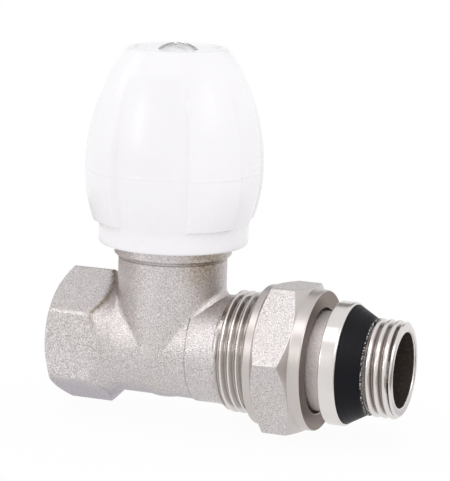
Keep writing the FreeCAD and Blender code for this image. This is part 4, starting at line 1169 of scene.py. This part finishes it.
class VALVE_OT_handwheel(Operator):
    """Moulded handwheel with four soft-edged lobes and its parting line"""

    bl_idname = "valve.handwheel"
    bl_label = "Handwheel"

    def execute(self, context):
        sizes = context.scene.valve_handwheel
        finish = context.scene.valve_finish
        rim = WHEEL_LOW.z
        crown = WHEEL_HIGH.z - rim
        bm = cad_copy("handwheel")
        self.keep_inside(bm, sizes, rim, crown)
        inside = set(bm.faces)
        dish = crown - sizes.dish_depth
        outline = self.outline(sizes, crown, dish)
        geometry = draw_line(bm, [spindle_point(radius, rim + height) for radius, height in outline])
        self.sweep_skin(bm, sizes, geometry)
        skin = [face for face in bm.faces if face not in inside]
        skin_corners = list(dict.fromkeys(corner for face in skin for corner in face.verts))
        bmesh.ops.remove_doubles(bm, verts=skin_corners, dist=WELD)
        skin = [face for face in bm.faces if face not in inside]
        self.raise_lobes(sizes, skin, rim, crown)
        close_shell(bm, "handwheel_moulding", [
            spindle_ring(sizes.screw_hole_r, rim + dish), spindle_ring(sizes.mouth_r, rim),
        ])
        finishes = [moulded_plastic(finish)]
        add_piece(
            "handwheel_moulding", bm, "wheel", ["handwheel"], finishes, WHEEL_SHARP_ANGLE,
        )
        return {"FINISHED"}

    def keep_inside(self, bm, sizes, rim, crown):
        """Leave only the faces of the cavity, its ribs and its hub."""
        top = crown - sizes.dish_depth

        def is_outer(middle):
            height = middle.z - rim
            slope = max(0.0, height - sizes.shoulder_height) / (top - sizes.shoulder_height)
            wall_r = sizes.mouth_r + (sizes.cavity_top_r - sizes.shoulder_r) * slope
            away = across_spindle(middle).length
            return height < TOUCH or height > top - TOUCH or away > wall_r + CAVITY_MARGIN

        drop_faces(bm, is_outer)

    def outline(self, sizes, crown, dish):
        """Outline of the flank between two lobes, from the screw's hole over the crown down to the rim."""
        dish_r = sizes.dish_r
        dish_foot = dish_r - sizes.dish_depth
        foot_end = (dish_foot + DISH_RISE, dish + DISH_RISE)
        brim_start = (dish_r - DISH_RISE, crown - DISH_RISE)
        crown_r = sizes.crown_r
        skirt_r = sizes.skirt_r
        rim_round = sizes.rim_round
        flank = [
            (wheel_radii(sizes, crown, height)[0], height) for height in wheel_heights(sizes, crown)
        ]
        outline = [(sizes.screw_hole_r + SEAM, dish)]
        outline += soft_corner((dish_foot - DISH_RUN, dish), (dish_foot, dish), foot_end, count=3)
        outline += soft_corner(brim_start, (dish_r, crown), (dish_r + DISH_RUN, crown), count=3)
        outline += soft_corner((crown_r - sizes.crown_round, crown), (crown_r, crown), flank[0], count=5)
        outline += flank[1:]
        outline += soft_corner((skirt_r, rim_round), (skirt_r, 0.0), (skirt_r - rim_round, 0.0), count=5)[1:]
        return outline + [(sizes.mouth_r + SEAM, 0.0)]

    def sweep_skin(self, bm, sizes, geometry):
        """Sweep the outline around the spindle, with narrow steps where a lobe's sides will be."""
        first = sizes.lobe_turn - sizes.lobe_width / 2 - sizes.lobe_edge / 2
        corners = [item for item in geometry if isinstance(item, bmesh.types.BMVert)]
        bmesh.ops.rotate(bm, verts=corners, cent=SPINDLE, matrix=Matrix.Rotation(first, 3, "Z"))
        between = FULL_TURN / sizes.lobes - sizes.lobe_width
        sweeps = (
            (sizes.lobe_edge, LOBE_EDGE_STEPS),
            (sizes.lobe_width - sizes.lobe_edge, LOBE_STEPS),
            (sizes.lobe_edge, LOBE_EDGE_STEPS),
            (between - sizes.lobe_edge, FLANK_STEPS),
        )
        for _ in range(sizes.lobes):
            for angle, steps in sweeps:
                geometry = bmesh.ops.spin(
                    bm, geom=geometry, cent=SPINDLE, axis=SPINDLE_AXIS, dvec=(0, 0, 0),
                    angle=angle, steps=steps, use_merge=False,
                )["geom_last"]

    def raise_lobes(self, sizes, skin, rim, crown):
        """Move the flank's corners out onto the lobes, and a little back beside the parting line."""
        half = sizes.parting_width / 2
        for corner in {corner for face in skin for corner in face.verts}:
            height = corner.co.z - rim
            arm = across_spindle(corner.co)
            if not sizes.recess_foot - FOOT_MARGIN < height < sizes.fade or arm.length < sizes.crown_r:
                continue
            flank, lobe = wheel_radii(sizes, crown, height)
            radius = flank + (lobe - flank) * lobe_share(sizes, math.atan2(arm.y, arm.x))
            away = abs(height - sizes.equator)
            if away > half * RIDGE_SHARE:
                radius -= sizes.parting_rise * ease(1 - away / sizes.parting_foot)
            corner.co = SPINDLE + arm.normalized() * radius + SPINDLE_AXIS * corner.co.z


class VALVE_OT_handwheel_screw(Operator):
    """Domed screw with a cross recess on top of the handwheel"""

    bl_idname = "valve.handwheel_screw"
    bl_label = "Handwheel screw"

    def execute(self, context):
        finishes = [plated_steel(context.scene.valve_finish)]
        bm = cad_copy("handwheel_screw")
        piece = add_piece("handwheel_screw_plated", bm, "wheel", ["handwheel_screw"], finishes)
        break_edges(piece, SCREW_EDGE_ROUND)
        even_shading(piece)
        return {"FINISHED"}


class VALVE_OT_headwork(Operator):
    """Finishes of the bonnet, spindle, gland, seals and the rings inside"""

    bl_idname = "valve.headwork"
    bl_label = "Headwork and seals"

    def execute(self, context):
        finish = context.scene.valve_finish
        coats = (
            (turned_brass(finish), (
                "bonnet", "gland_nut", "spindle", "obturator", "seal_washer", "nut_thrust_ring",
            )),
            (cone_rubber(finish, "ring_rubber", "spindle"), (
                "bonnet_oring", "stem_oring_lower", "stem_oring_upper", "obturator_seal", "tail_oring",
            )),
            (packing_plastic(finish), ("packing_washer",)),
            (bpy.data.materials["plated_steel"], ("spindle_retaining_clip", "seal_screw")),
        )
        for coat, nodes in coats:
            for node in nodes:
                dress_node(node, coat)
        return {"FINISHED"}


def seen_rays(nodes):
    """1 for rays that show the background: straight to the camera, in gloss or through glass."""
    path = nodes.add("ShaderNodeLightPath").outputs
    first = nodes.math("ADD", path["Is Camera Ray"], path["Is Glossy Ray"])
    return nodes.math("ADD", first, path["Is Transmission Ray"], clamp=True)


def add_stage_piece(name, bm, shade):
    """Object of the stage, shaded by what a function adds to its material's nodes."""
    mesh = bpy.data.meshes.new(name)
    bm.to_mesh(mesh)
    bm.free()
    material = bpy.data.materials.new(name + "_paper")
    material.use_nodes = True
    nodes = Nodes(material.node_tree)
    nodes.tree.nodes.clear()
    nodes.add("ShaderNodeOutputMaterial", {0: shade(nodes).outputs[0]})
    mesh.materials.append(material)
    piece = bpy.data.objects.new(name, mesh)
    bpy.context.scene.collection.objects.link(piece)
    return piece


def add_floor(settings):
    """Pale floor under the valve that keeps its shadow."""
    bm = bmesh.new()
    bmesh.ops.create_grid(bm, x_segments=FLOOR_SEGMENTS, y_segments=FLOOR_SEGMENTS, size=FLOOR_REACH)
    bmesh.ops.translate(bm, verts=bm.verts, vec=(0, 0, FLOOR_HEIGHT))

    def shade(nodes):
        paper = nodes.add("ShaderNodeBsdfDiffuse", {"Color": FLOOR_WHITE})
        glow = nodes.add("ShaderNodeEmission", {"Strength": 1.0})
        level = nodes.math("MULTIPLY", seen_rays(nodes), settings.background)
        return nodes.add("ShaderNodeMixShader", {0: level, 1: paper.outputs[0], 2: glow.outputs[0]})

    add_stage_piece("floor", bm, shade)


def add_lamp(name, place, size, watts):
    """Soft rectangular lamp that looks at the valve and shows in its gloss."""
    light = bpy.data.lights.new(name, "AREA")
    light.shape = "RECTANGLE"
    light.size, light.size_y = size
    light.energy = watts
    lamp = bpy.data.objects.new(name, light)
    lamp.location = place
    lamp.visible_diffuse = False
    lamp.rotation_euler = (STAGE_AIM - Vector(place)).to_track_quat("-Z", "Y").to_euler()
    bpy.context.scene.collection.objects.link(lamp)


def add_card(name, line, sweep, colour):
    """Card around the valve, turned from a line of (radius, height), that only shows in the metal's gloss."""
    start, stop = (math.radians(angle) for angle in sweep)
    bm = bmesh.new()
    geometry = draw_line(bm, [Vector((radius, 0, height)) for radius, height in line])
    bmesh.ops.rotate(bm, verts=bm.verts, cent=(0, 0, 0), matrix=Matrix.Rotation(start, 3, "Z"))
    bmesh.ops.spin(
        bm, geom=geometry, cent=(0, 0, 0), axis=SPINDLE_AXIS, dvec=(0, 0, 0),
        angle=stop - start, steps=CARD_STEPS, use_merge=False,
    )
    bmesh.ops.translate(bm, verts=bm.verts, vec=(STAGE_AIM.x, 0, 0))
    card = add_stage_piece(name, bm, lambda nodes: nodes.add("ShaderNodeEmission", {"Color": opaque(colour)}))
    card.visible_camera = False
    card.visible_shadow = False
    card.visible_diffuse = False


def add_world(settings):
    """Even light all around, seen as plain white."""
    world = bpy.data.worlds.new("tent")
    bpy.context.scene.world = world
    world.use_nodes = True
    nodes = Nodes(world.node_tree)
    background = nodes.tree.nodes["Background"].inputs
    nodes.feed(background["Color"], (1.0, 1.0, 1.0, 1.0))
    nodes.feed(background["Strength"], nodes.spread(seen_rays(nodes), 0.0, 1.0, settings.ambient, 1.0))


def add_camera(settings):
    """Camera at the photograph's angle."""
    data = bpy.data.cameras.new("camera")
    data.lens = settings.lens
    data.sensor_fit = "AUTO"
    data.sensor_width = SENSOR_WIDTH
    camera = bpy.data.objects.new("camera", data)
    flat = math.cos(settings.elevation)
    away = Vector((
        flat * math.sin(settings.azimuth), -flat * math.cos(settings.azimuth), math.sin(settings.elevation),
    ))
    aim = Vector(settings.aim)
    facing = (-away).to_track_quat("-Z", "Y").to_matrix().to_4x4()
    roll = Matrix.Rotation(settings.roll, 4, "Z")
    camera.matrix_world = Matrix.Translation(aim + away * settings.distance) @ facing @ roll
    bpy.context.scene.collection.objects.link(camera)
    bpy.context.scene.camera = camera


class VALVE_OT_stage(Operator):
    """Floor, lamps, surroundings and camera"""

    bl_idname = "valve.stage"
    bl_label = "Stage"

    def execute(self, context):
        settings = context.scene.valve_stage
        add_floor(settings)
        add_world(settings)
        for name, place, size in LAMPS:
            add_lamp(name + "_lamp", place, size, getattr(settings, name))
        for name, colour, line, sweep in CARDS:
            add_card(name, line, sweep, getattr(settings, colour))
        add_camera(settings)
        context.scene.view_settings.view_transform = "Standard"
        return {"FINISHED"}


class VALVE_PT_sidebar(Panel):
    """Lists the valve's pieces and sizes"""

    bl_idname = "VALVE_PT_sidebar"
    bl_label = "Radiator valve"
    bl_space_type = "VIEW_3D"
    bl_region_type = "UI"
    bl_category = "Valve"

    def draw(self, context):
        for operator in OPERATORS:
            self.layout.operator(operator.bl_idname)
        for name, group in SETTINGS.items():
            box = self.layout.box()
            for key in group.__annotations__:
                box.prop(getattr(context.scene, name), key)


SETTINGS = {
    "valve_body": ValveBodySettings,
    "valve_handwheel": ValveHandwheelSettings,
    "valve_threads": ValveThreadSettings,
    "valve_union": ValveUnionSettings,
    "valve_finish": ValveFinishSettings,
    "valve_stage": ValveStageSettings,
}
OPERATORS = (
    VALVE_OT_body_casting,
    VALVE_OT_union_nut,
    VALVE_OT_tailpiece,
    VALVE_OT_seal_cone,
    VALVE_OT_handwheel,
    VALVE_OT_handwheel_screw,
    VALVE_OT_headwork,
    VALVE_OT_stage,
)
register_classes, unregister_classes = bpy.utils.register_classes_factory(
    (*SETTINGS.values(), *OPERATORS, VALVE_PT_sidebar)
)


def register():
    """Make the settings, operators and panel known."""
    register_classes()
    for name, group in SETTINGS.items():
        setattr(bpy.types.Scene, name, PointerProperty(type=group))


def unregister():
    """Take the settings, operators and panel away again."""
    for name in SETTINGS:
        delattr(bpy.types.Scene, name)
    unregister_classes()


def main():
    """Dress the valve and set the stage."""
    register()
    bpy.ops.valve.body_casting()
    bpy.ops.valve.union_nut()
    bpy.ops.valve.tailpiece()
    bpy.ops.valve.seal_cone()
    bpy.ops.valve.handwheel()
    bpy.ops.valve.handwheel_screw()
    bpy.ops.valve.headwork()
    bpy.ops.valve.stage()


if __name__ == "__main__":
    main()
